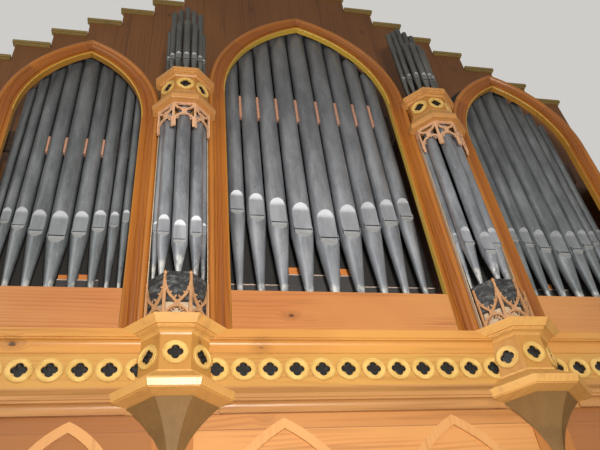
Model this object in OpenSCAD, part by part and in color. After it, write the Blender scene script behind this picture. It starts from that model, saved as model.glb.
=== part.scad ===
// Pipe organ in a pine Gothic case: three arched bays of front pipes, two half-octagonal
// towers between them, a frieze of quatrefoils, a panelled base and a stepped back screen.
// Origin at the bottom centre, +X to the right, +Y to the back, +Z up, millimetres.

/* [Case] */
// height of the sill tops above the floor
sill_z = 3600; // [3000:10:4200]
// depth of the base from the frieze face to the back
case_depth = 900; // [700:10:1400]
// thickness of the boards of the base
board_t = 25; // [18:1:40]
// height of the plinth
plinth_h = 220; // [120:10:350]
// how far the plinth stands out
plinth_out = 18; // [8:1:40]
// half width of the stile under a tower
stile_half = 87; // [60:1:110]

/* [Arched bays] */
// half width of the centre opening
centre_half = 600; // [520:5:700]
// radius of the arcs of the centre arch
centre_r = 1000; // [800:10:1300]
// springing of the centre arch above the sill
centre_spring = 1710; // [1400:10:1900]
// width of the centre frame
centre_frame = 120; // [90:1:140]
// clear width between the frames beside a tower
tower_gap = 307; // [300:1:330]
// half width of a side opening
side_half = 386.5; // [340:0.5:430]
// radius of the arcs of a side arch
side_r = 790; // [620:10:1000]
// springing of a side arch above the sill
side_spring = 1360; // [1100:10:1500]
// width of a side frame
side_frame = 120; // [90:1:130]
// depth of the frames from front to back
frame_d = 66; // [50:1:90]
// how far the frames stand behind the frieze face
frame_y = 51; // [40:1:80]
// thickness of the sill boards
sill_t = 25; // [18:1:35]
// how far the sill boards stand behind the face of the frames
sill_set = 24; // [10:1:35]

/* [Frieze and mouldings] */
// height of the sill boards below the sill tops
sill_drop = 306; // [240:2:360]
// height of the upper moulding
upper_h = 113; // [80:1:140]
// how far the upper moulding stands out
upper_out = 34; // [25:1:50]
// height of the frieze board
frieze_h = 169; // [150:1:200]
// thickness of the frieze board
frieze_t = 24; // [20:1:34]
// height of the lower moulding
lower_h = 130; // [100:1:160]
// how far the lower moulding stands out
lower_out = 40; // [25:1:60]
// distance between the roundels of the centre frieze
roundel_pitch = 125; // [122:0.5:132]
// radius of a roundel
roundel_r = 59.5; // [50:0.5:60]
// radius of one lobe of a quatrefoil
lobe_r = 18; // [13:0.5:20]
// depth of the quatrefoils in the boards
foil_depth = 12; // [6:1:18]

/* [Blind arches] */
// height of their points below the sill tops
blind_drop = 790; // [775:2:900]
// clear space left beside the outer legs
blind_gap = 5; // [3:1:20]
// width of the relief band
blind_w = 42; // [30:1:42]
// thickness of the relief band
blind_t = 12; // [6:1:20]
// height of the bottom rail of the base above the plinth
base_rail = 160; // [100:5:260]

/* [Towers] */
// distance of the tower's centre behind the frieze face
tower_back = 76; // [70:1:82]
// radius to the faces of the lower band
band_a = 168; // [160:1:176]
// how far the upper cornice of the base stands out
base_out = 78; // [60:1:90]
// height of the upper cornice of the base
base_corn_h = 73; // [60:1:90]
// how far the lower cornice of the base stands out
foot_out = 104; // [80:1:112]
// height of the lower cornice of the base
foot_h = 139; // [120:1:150]
// top of the lower cornice below the sill tops
foot_drop = 552; // [545:1:560]
// radius to the faces of the crown's band
crown_a = 155; // [150:1:158]
// how far the crown's cornices stand out
crown_out = 40; // [30:1:46]
// height of the crown's top above the sill
crown_top = 1675; // [1560:1:1740]
// height of the crown
crown_h = 334; // [310:1:356]
// height of the corbel under a tower
corbel_h = 344; // [280:2:400]
// radius to the faces of the toe block
block_a = 143; // [136:1:144]
// height of the toe block's top above the sill
block_top = 7; // [5:1:30]
// height of the toe block
block_h = 175; // [140:1:230]
// thickness of the carved screens
screen_t = 10; // [8:1:11]
// height of the pipe shades under a crown
shade_h = 227; // [200:1:250]
// height of the carved gallery round a tower's foot
gallery_h = 307; // [290:1:330]
// thickness of the side cheeks
cheek_t = 4; // [3:1:5]
// how far the cheeks stand out in front of the frames
cheek_out = 12; // [8:1:16]

/* [Pipes] */
// diameter of the middle pipe of the centre bay
pipe_c = 142; // [130:1:146]
// diameter of the middle pipe of a side bay
pipe_s = 114; // [100:1:118]
// diameter of the front pipe of a tower
pipe_t = 84; // [70:1:84]
// diameter of the front pipe on a crown
pipe_u = 48; // [40:1:49]
// thickness of the pipe metal
metal_t = 2.5; // [2:0.1:3]
// how far the pipe axes stand behind the frieze face
pipe_y = 202; // [196:1:215]
// height of the middle mouth of the centre bay above the sill
mouth_c = 437; // [380:1:480]
// rise of the mouths from pipe to pipe in the centre bay
rise_c = 63; // [30:1:80]
// height of the middle mouth of a side bay
mouth_s = 394; // [340:1:440]
// rise of the mouths from pipe to pipe in a side bay
rise_s = 40; // [20:1:60]
// height of the tallest pipe above the sill
top_c = 2850; // [2700:10:2950]
// drop of the tops from pipe to pipe in the centre bay
drop_c = 162; // [60:1:170]
// height of the tallest pipe of a side bay
top_s = 2250; // [2150:10:2350]
// drop of the tops from pipe to pipe in a side bay
drop_s = 132; // [60:1:140]
// height of the front mouth of a tower
mouth_t = 212; // [170:1:260]
// height of the front mouths on a crown above its top
mouth_u = 168; // [120:1:240]
// height of the front row on a crown
row_u = 660; // [560:5:760]
// height of the tallest pipe of the back row on a crown
back_u = 1060; // [900:5:1160]
// height of the rack board above the sill
rack_h = 205; // [150:5:230]
// height of the rail behind the centre pipes
rail_c = 1570; // [1300:10:1700]
// height of the rail behind the side pipes
rail_s = 1180; // [1000:10:1250]
// how far the dark lining behind the pipes rises above the arches
panel_lift = 300; // [200:10:320]
// thickness of the rail behind the pipes
rail_t = 24; // [18:1:32]
// height of the rail behind the pipes
rail_h = 240; // [120:5:280]
// clearance between neighbours that only rest on each other
seat = 0.3; // [0.2:0.1:0.5]

/* [Back screen] */
// distance of the screen's face behind the frieze face
screen_y = 480; // [430:1:520]
// thickness of the screen's boards
screen_board = 26; // [20:1:35]
// how far the screen ends inside the sides
screen_edge = 50; // [40:1:80]
// drop from one step to the next
step_drop = 212; // [180:1:240]
// height of the middle step above the sill
step_top = 4393; // [4200:5:4500]
// thickness of a step's capping
cap_h = 45; // [30:1:60]
// how far a capping stands out
cap_out = 24; // [14:1:34]

/* [Hidden] */
$fn = 96;

pine = [0.80, 0.56, 0.33]; pine_deep = [0.66, 0.40, 0.16]; pine_pale = [0.86, 0.68, 0.40];
brown = [0.40, 0.27, 0.15]; dark = [0.25, 0.24, 0.23]; zinc = [0.52, 0.52, 0.51];
far = 700;                                      // reach of the tower forms
reach = 9000;                                   // run of a moulding profile behind its face
c_out = centre_half + centre_frame;            // outer edge of the centre frame
s_in = c_out + tower_gap;                      // outer edge of a side frame beside a tower
side_x = s_in + side_frame + side_half;        // middle of a side bay
half_w = side_x + side_half + side_frame;      // half width of the front
corner = tan(22.5);
tower_x = c_out + tower_gap/2;                 // middle of a tower
cant = screen_y;                               // the sides splay out at 45 degrees to the screen
back_half = half_w + cant;                     // half width at the back
steps = 9;                                      // steps on either side of the middle board
step_w = 2*(back_half - screen_edge)/(2*steps + 1);
z_up = -sill_drop; z_fr = z_up - upper_h; z_lo = z_fr - frieze_h; z_bot = z_lo - lower_h;
frame_back = frame_y + frame_d;
foot_a = band_a + foot_out;
tower_front = foot_a - tower_back;             // how far the towers stand out
y_mid = (max(tower_front, plinth_out) - case_depth - plinth_out)/2;
floor_z = -sill_z;                             // the floor, seen from the sill
toe_t = 25;
roundel_t = 6;
backing = board_t;

// ---------------------------------------------------------------- helpers
module place() { translate([0, y_mid, sill_z]) children(); }
module both() { children(); mirror([1, 0, 0]) children(); }

// a profile drawn in (distance, height), swept along a face whose normal points at phi
module face_sweep(phi, l) {
  rotate([0, 0, phi]) rotate([90, 0, 0]) linear_extrude(l, center = true) children();
}

// the front faces of an octagon round the tower's centre, cut off at the plane y = wall
module tower_form(wall, z0, z1) {
  intersection() {
    translate([tower_x, tower_back, 0]) intersection() {
      face_sweep(-90, 2*far) children();
      face_sweep(-45, 2*far) children();
      face_sweep(-135, 2*far) children();
      face_sweep(0, 2*far) children();
      face_sweep(180, 2*far) children();
    }
    translate([tower_x - far, -far, z0]) cube([2*far, far + wall, z1 - z0]);
  }
}

// the plan of the case: front, two splayed returns, two sides and the back, grown by g
module plan(g) {
  k = g*corner;
  polygon([[-half_w - k, -g], [half_w + k, -g], [back_half + g, cant - k], [back_half + g, case_depth + g],
    [-back_half - g, case_depth + g], [-back_half - g, cant - k]]);
}

// a board or moulding of depth th behind the face, mitred round the front, the returns and the sides
module runs(z0, z1, th, y_end) {
  t = 150; s = seat/2; d = [sin(22.5)*t, -cos(22.5)*t]; e = [cos(22.5)*t, -sin(22.5)*t]; q = s*sqrt(0.5);
  intersection() {
    face_sweep(-90, 2*half_w + 2*t) slab(z0, z1, th) children();
    plan_cut(z0, z1) polygon([[half_w + d[0] - s, d[1]], [half_w - d[0] - s, -d[1]], [-half_w + d[0] + s, -d[1]], [-half_w - d[0] + s, d[1]]]);
  }
  both() intersection() {
    translate([half_w, 0, 0]) face_sweep(-45, 4*cant) slab(z0, z1, th) children();
    plan_cut(z0, z1) polygon([[half_w + d[0] + q, d[1] + q], [back_half + e[0] - q, cant + e[1] - q],
      [back_half - e[0] - q, cant - e[1] - q], [half_w - d[0] + q, -d[1] + q]]);
  }
  both() intersection() {
    translate([back_half, cant, 0]) face_sweep(0, 4*case_depth) slab(z0, z1, th) children();
    plan_cut(z0, z1) polygon([[back_half + e[0], cant + e[1] + s], [back_half + t, y_end], [back_half - t, y_end], [back_half - e[0], cant - e[1] + s]]);
  }
}
module slab(z0, z1, th) { intersection() { children(); translate([-th, z0]) square([th + far, z1 - z0]); } }
module plan_cut(z0, z1) { translate([0, 0, z0 - 1]) linear_extrude(z1 - z0 + 2) children(); }

// cornice: fascia, fillet and hollow, widest at the top
module cornice(b, p, zt, h) {
  r = 0.60*p;
  translate([-reach, zt - 0.40*h]) square([reach + b + p, 0.40*h]);
  translate([-reach, zt - 0.48*h]) square([reach + b + 0.84*p, 0.09*h]);
  difference() {
    translate([-reach, zt - 0.48*h - r]) square([reach + b + 0.16*p + r, r + 1]);
    translate([b + 0.16*p + r, zt - 0.48*h - r]) circle(r = r);
  }
  translate([-reach, zt - h]) square([reach + b + 0.16*p, 0.60*h]);
}

// base moulding: bead, slope out to a fascia, hollow back in under it
module base_mould(b, p, zt, h) {
  r = 0.52*p;
  polygon([[-reach, zt], [b + 0.10*p, zt], [b + 0.10*p, zt - 0.07*h], [b + 0.84*p, zt - 0.40*h],
    [b + p, zt - 0.42*h], [b + p, zt - 0.56*h], [b + 0.88*p, zt - 0.58*h],
    [b + 0.88*p, zt - 0.66*h], [-reach, zt - 0.66*h]]);
  difference() {
    translate([-reach, zt - 0.66*h - r]) square([reach + b + 0.24*p + r, r + 1]);
    translate([b + 0.24*p + r, zt - 0.66*h - r]) circle(r = r);
  }
  translate([-reach, zt - h]) square([reach + b + 0.24*p, 0.50*h]);
}

// four lobes
module quatrefoil(r) {
  for (a = [0:90:270]) rotate(a) translate([r, 0]) circle(r = r);
  square(1.2*r, center = true);
}

// turned roundel with a pierced quatrefoil, standing out of the plane y = 0
module roundel() {
  rotate([90, 0, 0]) difference() {
    union() {
      cylinder(r = roundel_r, h = roundel_t);
      translate([0, 0, roundel_t]) rotate_extrude()
        translate([roundel_r - 7, 0]) circle(r = 3.2);
    }
    translate([0, 0, -1]) linear_extrude(2*roundel_t + 2) quatrefoil(lobe_r);
  }
}
module foil_cut() { rotate([90, 0, 0]) translate([0, 0, -foil_depth]) linear_extrude(foil_depth + 20) quatrefoil(lobe_r); }

centre_discs = [for (i = [0:11]) (i - 5.5)*roundel_pitch];
side_discs = [for (i = [-4:3]) side_x + i*roundel_pitch];
disc_z = z_fr - frieze_h/2;

// pointed opening of half width w, arc radius r, springing zs, from z0
module pointed(w, r, zs, z0) {
  translate([-w, z0]) square([2*w, zs - z0 + 0.01]);
  intersection() {
    translate([w - r, zs]) circle(r = r, $fn = 360);
    translate([r - w, zs]) circle(r = r, $fn = 360);
    translate([-w, zs]) square([2*w, r]);
  }
}

// ---------------------------------------------------------------- pipes
function lip_len(d) = 1.32*d;
function slit(d) = 0.19*d;
// one pipe, its mouth facing -Y: foot tip at zf, mouth at zm, open top at zt
module pipe(d, zf, zm, zt) {
  r = d/2; mw = 0.79*d; dep = r - sqrt(r*r - mw*mw/4); tip = 0.18*r + 2;
  zs = zm + slit(d) + 1.02*d; zl = zm - 0.40*d;
  rl = tip + (r - tip)*(zl - zf)/(zm - zf);
  difference() {
    union() {
      translate([0, 0, zm]) cylinder(r = r, h = zt - zm);
      translate([0, 0, zf]) cylinder(r1 = tip, r2 = r, h = zm - zf);
    }
    lip_cut(r, dep, 0, zm, zs);
    foot_cut(r, dep, 0, zm, zl, rl);
    translate([-mw/2, -r - 1, zm + 0.5]) cube([mw, dep + 4 + metal_t, slit(d)]);
    difference() {
      translate([0, 0, zm + 0.5]) cylinder(r = r - metal_t, h = zt - zm);
      lip_cut(r, dep, metal_t, zm - 2, zs);
    }
    difference() {
      translate([0, 0, zf - 0.1]) cylinder(r1 = tip - metal_t, r2 = r - metal_t, h = zm - zf - 4);
      foot_cut(r, dep, metal_t*1.2, zm, zl, rl);
    }
  }
  if (d > 60) for (s = [-1, 1]) translate([s*(mw/2) - 1.1, -r + dep - 0.10*d, zm - 0.06*d])
    cube([2.2, 0.10*d + 3, slit(d) + 0.14*d]);
}
// the lip curves forward at its top, so that its edge on the round pipe is a half circle
module lip_cut(r, dep, g, z0, zs) {
  mh = sqrt(r*r - (r - dep)*(r - dep));
  rotate([90, 0, 90]) linear_extrude(2*r, center = true)
    polygon(concat([[-r - 5, z0], [-r + dep + g, z0]],
      [for (t = [0, 0.22, 0.42, 0.6, 0.78, 1]) [g - sqrt((r - dep)*(r - dep) + t*t*mh*mh), zs + t*mh]],
      [[-r - 5, zs + mh]]));
}
module foot_cut(r, dep, g, zm, zl, rl) {
  rotate([90, 0, 90]) linear_extrude(2*r, center = true)
    polygon([[-r - 5, zm + 0.01], [-r + dep + g, zm + 0.01], [-rl + g, zl], [-r - 5, zl]]);
}

// nine pipes, the largest in the middle; shares of the middle pipe's diameter and places
centre_d = [1, 0.955, 0.88, 0.805, 0.705];
side_d = [1, 0.845, 0.735, 0.53, 0.43];
function run(list, k, d, gap) = k == 0 ? 0 : run(list, k - 1, d, gap) + d*(list[k-1] + list[k])/2 + gap;
centre_gap = (centre_half - 12 - run(centre_d, 4, pipe_c, 0) - centre_d[4]*pipe_c/2)/4;
side_gap = (side_half - 9 - run(side_d, 4, pipe_s, 0) - side_d[4]*pipe_s/2)/4;
module bank(list, d, gap, mouth, rise, bend, top, drop) {
  for (k = [-4:4]) {
    j = abs(k);
    translate([sign(k)*run(list, j, d, gap), pipe_y, 0])
      pipe(list[j]*d, seat, mouth + rise*pow(j, bend), top - drop*j);
  }
}

// ---------------------------------------------------------------- arch frames
// frame moulding, drawn from the inner edge outwards (x) and from the face to the back (y)
module frame_section(w) {
  k = w/122;
  difference() {
    union() {
      translate([0, 30*k]) square([w, frame_d - 30*k]);
      translate([6*k, 24*k]) square([w - 6*k, frame_d - 24*k]);
      translate([0, 30*k]) intersection() { translate([6*k, 0]) circle(r = 6*k, $fn = 48); translate([0, -6*k]) square(6*k); }
      translate([28*k, 14*k]) square([w - 28*k, frame_d - 14*k]);
      translate([w - 22*k, 22*k]) circle(r = 22*k, $fn = 96);
      translate([w - 22*k, 22*k]) square([22*k, frame_d - 22*k]);
    }
    translate([53*k, 0]) circle(r = 21*k, $fn = 96);
  }
}
module arch_post(w, f, z1) {
  translate([w, frame_y, z_up]) linear_extrude(z1 - z_up) frame_section(f);
}
module arch_head(w, r, zs, f) {
  both() intersection() {
    translate([w - r, frame_y, zs]) rotate([90, 0, 0]) rotate_extrude(angle = 90, $fn = 400)
      translate([r, 0]) mirror([0, 1]) frame_section(f);
    translate([0, 0, zs]) cube([w + f, frame_back + 10, r + f]);
  }
}

// ---------------------------------------------------------------- towers
// half-octagonal base: splayed cornice over a plain band over a wide lower cornice
band_top = z_up - base_corn_h; band_bot = -foot_drop;
foot_bot = -foot_drop - foot_h;                 // where the corbel begins
cb_a = band_a + 0.31*foot_out;                  // radius of the corbel's head
module base_profile() {
  o = base_out; h = base_corn_h; f = foot_out; k = foot_h;
  translate([band_a, z_up]) polygon([[-reach, 0], [o, 0], [0.62*o, -0.47*h], [0.50*o, -0.47*h], [0.50*o, -0.58*h],
    [0.43*o, -0.58*h], [0.43*o, -0.64*h], [-reach, -0.64*h]]);
  difference() {
    translate([-reach, band_top]) square([reach + band_a + 0.43*o, 0.37*h]);
    translate([band_a + 0.45*o, band_top]) scale([0.45*o, 0.35*h]) circle(r = 1);
  }
  translate([-reach, foot_bot + 1]) square([reach + band_a, z_up - foot_bot - 2]);
  translate([band_a, band_bot]) polygon([[-reach, 0], [0.03*f, 0], [0.10*f, -0.03*k], [0.10*f, -0.09*k], [0.90*f, -0.60*k], [f, -0.62*k],
    [f, -0.68*k], [0.90*f, -0.88*k], [0.84*f, -0.88*k], [0.84*f, -0.91*k], [0.31*f, -k], [-reach, -k]]);
}
module crown_profile() {
  zb = crown_top - crown_h; o = crown_out;
  translate([crown_a, crown_top]) polygon([[-reach, 0], [o, 0], [0.96*o, -28], [0.82*o, -28], [0.78*o, -43],
    [0.60*o, -43], [0.60*o, -50], [0.40*o, -50], [0.10*o, -58], [-reach, -58]]);
  translate([-reach, zb]) square([reach + crown_a, crown_h - 1]);
  translate([crown_a, zb]) polygon([[-reach, 0], [1.05*o, 0], [1.12*o, 4], [1.20*o, 35], [0.16*o, 124], [0.16*o, 130], [0.04*o, 134], [-reach, 134]]);
}
tower_disc_z = (band_top + band_bot)/2;
crown_foil_z = crown_top - 58 - (crown_h - 58 - 134)/2;
module on_faces(a, z) {
  translate([tower_x, tower_back, z]) for (p = [0, 45, -45]) rotate([0, 0, p]) translate([0, -a, 0]) children();
}

// pierced screen drawn upright: round arch below, pointed cup above, side eyes between; w wide, h high,
// ac and ar place the arch, tip and top the cup; closed by a rail when rail > 0
module tracery(w, h, ac, ar, tip, top, rail) {
  p = 7; hw = w/2 - p; rise = top - tip;
  c = max(1, (rise*rise - hw*hw)/(2*hw)); r = hw + c;
  a = min(ar, hw - 2);
  difference() {
    translate([-w/2, 0]) square([w, h]);
    translate([0, ac]) circle(r = a);
    translate([-a, -1]) square([2*a, ac + 1]);
    intersection() {
      translate([-c, top]) circle(r = r);
      translate([c, top]) circle(r = r);
      translate([-hw, 0]) square([2*hw, min(top, h - rail)]);
    }
    if (h - rail > top) translate([-hw, top - 0.1]) square([2*hw, h - rail - top + (rail > 0 ? 0 : 1)]);
    for (s = [-1, 1]) difference() {
      translate([s > 0 ? 0.12*w : -hw, ac]) square([hw - 0.12*w, top - ac]);
      intersection() {
        translate([-c, top]) circle(r = r + 13);
        translate([c, top]) circle(r = r + 13);
        translate([-w, 0]) square([2*w, top]);
      }
      translate([0, ac]) circle(r = a + 12);
      translate([-w/2, tip + 0.72*rise]) square([w, h]);
    }
    if (rail == 0 && w > 100) for (s = [-1, 1]) translate([s*(hw - 7), tip + 0.44*rise]) circle(r = 3.6);
  }
}
// the faces and the corner posts of a screen, with plain returns to y_end beside the frames
module screen_ring(a, z, h, post_lo, post_hi, ac, ar, tip, top, rail, y_end) {
  w = 2*a*corner; ye = y_end - tower_back;
  translate([tower_x, tower_back, z]) {
    for (k = [-1:1]) rotate([0, 0, 45*k]) translate([0, -a + screen_t, 0]) rotate([90, 0, 0]) linear_extrude(screen_t)
      tracery(w - (k == 0 ? 2 : 6), h - (k == 0 ? 0 : 0.7), ac, ar, tip, top, rail);
    for (s = [-1, 1]) {
      translate([s*(w/2 - 1), -a + screen_t/2 + 1, post_lo]) rotate([0, 0, s*22.5]) {
        translate([-6, -screen_t/2, 0]) cube([12, screen_t + 2, post_hi - post_lo - 1.5]);
        translate([0, 1, 0]) if (rail > 0) bud(-1); else translate([0, 0, post_hi - post_lo - 1.5]) bud(1);
      }
      translate([s > 0 ? a - screen_t : -a, -w/2 - 6, rail > 0 ? h - 61 : 0]) cube([screen_t, ye + w/2 + 6, 60]);
      translate([s > 0 ? a - screen_t : -a, -w/2 - 6, post_lo]) cube([screen_t, 12, post_hi - post_lo - 2]);
    }
  }
}
// small turned bud that ends a corner post
module bud(up) {
  scale([1, 1, up]) rotate_extrude($fn = 32) polygon([[0, -4], [5, -4], [5.6, 0], [4.5, 3], [9, 9], [10, 14], [8, 19], [3.5, 25], [0, 33]]);
}
gallery_a = block_a + screen_t + 2;
shade_a = gallery_a + 8;
cheek_in = tower_gap/2 - seat - cheek_t;        // inner face of a cheek, from the tower's middle
// the pipes of a tower stand parallel to its faces
ring_a = block_a - 36;
tower_pipes_at = [[0, -ring_a], [0.8*ring_a, (0.8 - sqrt(2))*ring_a], [cheek_in - 0.27*pipe_t, -0.2*ring_a]];
tower_share = [1, 0.9, 0.52];
tower_rise = [0, 1.06, 1.68];                   // rise of the mouths in pipe diameters

// ---------------------------------------------------------------- nodes
module plinth() { color(pine_deep) place() {
  h = plinth_h; b = board_t + seat;
  runs(floor_z, floor_z + h, b, case_depth) plinth_profile();
  translate([-back_half + b + seat, case_depth - b, floor_z]) cube([2*(back_half - b - seat), b + plinth_out, h - lap]);
} }
lap = 40;                                       // the plinth's lip laps the boards
module plinth_profile() {
  b = board_t + seat;
  translate([0, floor_z]) polygon([[-b, 0], [plinth_out, 0], [plinth_out, plinth_h], [seat, plinth_h], [seat, plinth_h - lap], [-b, plinth_h - lap]]);
}
pz = floor_z + plinth_h - lap;                   // panels stand in the plinth's rebate
rail_z = floor_z + plinth_h;                    // bottom rail
stile_in = tower_x - stile_half;
stile_out = tower_x + stile_half;
post = 26;                                      // legs of the corner posts
end_in = half_w - post;
blind_x = stile_in/2;                           // centre blind arches
blind_c = stile_in/2 - blind_w - 2.5*blind_gap;
blind_sx = (end_in - side_x)/2;                 // side blind arches, from the bay's middle
blind_s = blind_sx - blind_w - blind_gap;
// corner post in plan: one leg to the left, the other turning 45 degrees to the back
module corner_post() {
  q = board_t*corner; l = post - seat;
  polygon([[-l, 0], [0, 0], [l*sqrt(0.5), l*sqrt(0.5)], [(l - board_t)*sqrt(0.5), (l + board_t)*sqrt(0.5)],
    [-q, board_t], [-l, board_t]]);
}
module lower_panels() { color(pine) place() {
  translate([-stile_in + seat, 8, pz]) cube([2*stile_in - 2*seat, board_t - 8, z_bot - pz]);
  both() translate([stile_out + seat, 8, pz]) cube([end_in - stile_out - seat, board_t - 8, z_bot - pz]);
} }
module lower_stiles() { color(pine) place() both() {
  translate([stile_in, 0, pz]) cube([2*stile_half, board_t, z_bot - pz]);
  translate([half_w, 0, pz]) linear_extrude(z_bot - pz) corner_post();
  translate([back_half, cant, pz]) rotate([0, 0, 45]) linear_extrude(z_bot - pz) corner_post();
} }
module bottom_rail() { color(pine) place() {
  translate([-stile_in + seat, 8 - blind_t, rail_z + seat]) cube([2*stile_in - 2*seat, blind_t - seat, base_rail]);
  both() translate([stile_out + seat, 8 - blind_t, rail_z + seat]) cube([end_in - stile_out - 2*seat, blind_t - seat, base_rail]);
} }
module blind_arch(w, x) {
  r = 2*w; zs = -blind_drop - sqrt(r*r - (r - w)*(r - w)); z0 = rail_z + base_rail + 2*seat;
  translate([x, 8 - seat, 0]) rotate([90, 0, 0]) linear_extrude(blind_t - seat) difference() {
    intersection() {
      pointed(w + blind_w, r + blind_w, zs, z0);
      translate([-2*w, z0]) square([4*w, z_bot - seat - z0]);
    }
    pointed(w, r, zs, z0 - 1);
  }
}
module blind_arches_centre() { color(pine_pale) place() both() blind_arch(blind_c, blind_x); }
module blind_arches_side() { color(pine_pale) place() both() for (s = [-1, 1]) blind_arch(blind_s, side_x + s*blind_sx); }
module base_returns() { color(pine) place() both()
  translate([half_w, 0, 0]) rotate([0, 0, 45]) translate([post, 8, pz]) cube([cant*sqrt(2) - 2*post, board_t - 8, z_bot - pz]); }
module base_sides() { color(pine) place() both()
  translate([back_half - board_t, cant + post, pz]) cube([board_t - 8, case_depth - cant - post - board_t - seat, z_bot - pz]); }
module base_back() { color(pine) place()
  translate([-back_half, case_depth - board_t, pz]) cube([2*back_half, board_t, z_up - board_t - seat - pz]); }
module deck() { color(pine) place()
  translate([0, 0, z_up - board_t]) linear_extrude(board_t) plan(-frieze_t - seat); }
// what a tower takes up in front of the frieze face
module tower_void() { both() tower_form(seat, z_bot - corbel_h, z_up + 1) {
  for (k = [-1:1]) translate([seat, k*seat]) base_profile();
  translate([-reach, z_bot - 1]) square([reach + cb_a + seat, corbel_top - z_bot + 1.5]);
} }
side_end = case_depth - board_t - seat;
module lower_moulding() { color(pine) place() difference() {
  runs(z_bot, z_lo, frieze_t, side_end) base_mould(0, lower_out, z_lo, lower_h);
  tower_void();
} }
module frieze_board() { color(pine) place() difference() {
  runs(z_lo, z_fr, frieze_t, side_end) translate([-frieze_t, z_lo]) square([frieze_t, frieze_h]);
  for (x = centre_discs) translate([x, 0, disc_z]) foil_cut();
  for (x = side_discs) both() translate([x, 0, disc_z]) foil_cut();
} }
module frieze_roundels() { color(pine_pale) place() difference() {
  union() {
    for (x = centre_discs) translate([x, -seat/3, disc_z]) roundel();
    for (x = side_discs) both() translate([x, -seat/3, disc_z]) roundel();
  }
  both() tower_form(seat, z_lo - 1, z_fr + 1) union() {
    translate([-reach, z_lo - 1]) square([reach + band_a + 2*roundel_t, frieze_h + 2]);
    translate([seat, 0]) base_profile();
  }
} }
module upper_moulding() { color(pine) place() difference() {
  runs(z_fr, z_up, frieze_t, side_end) cornice(0, upper_out, z_up, upper_h);
  tower_void();
} }
sill_y = frame_y + sill_set;
module sill_boards() { color(pine) place() {
  translate([-centre_half, sill_y, z_up]) cube([2*centre_half, sill_t, sill_drop]);
  both() translate([side_x - side_half, sill_y, z_up]) cube([2*side_half, sill_t, sill_drop]);
} }
part_t = 28;
part_c = centre_half + centre_frame/2;          // partitions behind the frames
part_s = s_in + side_frame/2;
part_o = half_w - part_t - 4;
rack_y = pipe_y + pipe_c/2 + rail_t + 3; rack_t = 18;
toe_y = sill_y + sill_t;
module toe_boards() { color(dark) place() {
  translate([-part_c, toe_y, -toe_t]) cube([2*part_c, rack_y - toe_y, toe_t]);
  both() difference() {
    translate([part_s + part_t, toe_y, -toe_t]) cube([part_o - part_s - part_t, rack_y - toe_y, toe_t]);
    translate([side_x + side_half, 0, -toe_t - 1]) cube([side_frame, frame_back + seat, toe_t + 2]);
    translate([side_x - side_half - side_frame, 0, -toe_t - 1]) cube([side_frame, frame_back + seat, toe_t + 2]);
  }
} }
module rack_boards() { color(dark) place() {
  translate([-part_c, rack_y, z_up]) cube([2*part_c, rack_t, sill_drop + rack_h]);
  translate([-1.3*pipe_c, rack_y, rack_h]) cube([2.6*pipe_c, rack_t, 0.38*rack_h]);
  both() translate([part_s + part_t, rack_y, z_up]) cube([part_o - part_s - part_t, rack_t, sill_drop + 0.8*rack_h]);
} }
part_top = side_spring + 160;
module case_partitions() { color(dark) place() both() {
  translate([part_c, frame_back, z_up]) cube([part_t, screen_y - frame_back, part_top - z_up]);
  translate([part_s, frame_back, z_up]) cube([part_t, screen_y - frame_back, part_top - z_up]);
} }
module upper_sides() { color(pine) place() both() {
  translate([part_o, frame_back, z_up]) cube([part_t, 40, side_spring - z_up]);
  intersection() {
    translate([half_w - 4 - part_t*0.3, frame_back + 40, z_up]) rotate([0, 0, 45])
      translate([0, -part_t/2, 0]) cube([600, part_t, side_spring - z_up]);
    translate([half_w - 60, frame_back + 40 + seat, z_up]) cube([600, screen_y - frame_back - 40 - seat, sill_z]);
  }
} }
rail_y = pipe_y + pipe_c/2 + seat;
side_rail_y = pipe_y + pipe_s/2 + seat;
module pipe_rails() { color([0.85, 0.76, 0.72]) place() {
  translate([-part_c, rail_y, rail_c]) cube([2*part_c, rail_t, rail_h]);
  both() translate([part_s + part_t, side_rail_y, rail_s]) cube([part_o - part_s - part_t, rail_t, 0.75*rail_h]);
} }
module centre_arch_posts() { color(pine_deep) place() both() arch_post(centre_half, centre_frame, centre_spring); }
module centre_arch_head() { color(pine_deep) place() arch_head(centre_half, centre_r, centre_spring, centre_frame); }
module side_posts() { both() arch_post(side_half, side_frame, side_spring); }
module side_head() { arch_head(side_half, side_r, side_spring, side_frame); }
module left_arch_posts() { color(pine_deep) place() translate([-side_x, 0, 0]) side_posts(); }
module left_arch_head() { color(pine_deep) place() translate([-side_x, 0, 0]) side_head(); }
module right_arch_posts() { color(pine_deep) place() translate([side_x, 0, 0]) side_posts(); }
module right_arch_head() { color(pine_deep) place() translate([side_x, 0, 0]) side_head(); }
module centre_pipes() { color(zinc) place() bank(centre_d, pipe_c, centre_gap, mouth_c, rise_c, 0.9, top_c, drop_c); }
module left_pipes() { color(zinc) place() translate([-side_x, 0, 0]) bank(side_d, pipe_s, side_gap, mouth_s, rise_s, 1, top_s, drop_s); }
module right_pipes() { color(zinc) place() translate([side_x, 0, 0]) bank(side_d, pipe_s, side_gap, mouth_s, rise_s, 1, top_s, drop_s); }
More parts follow.
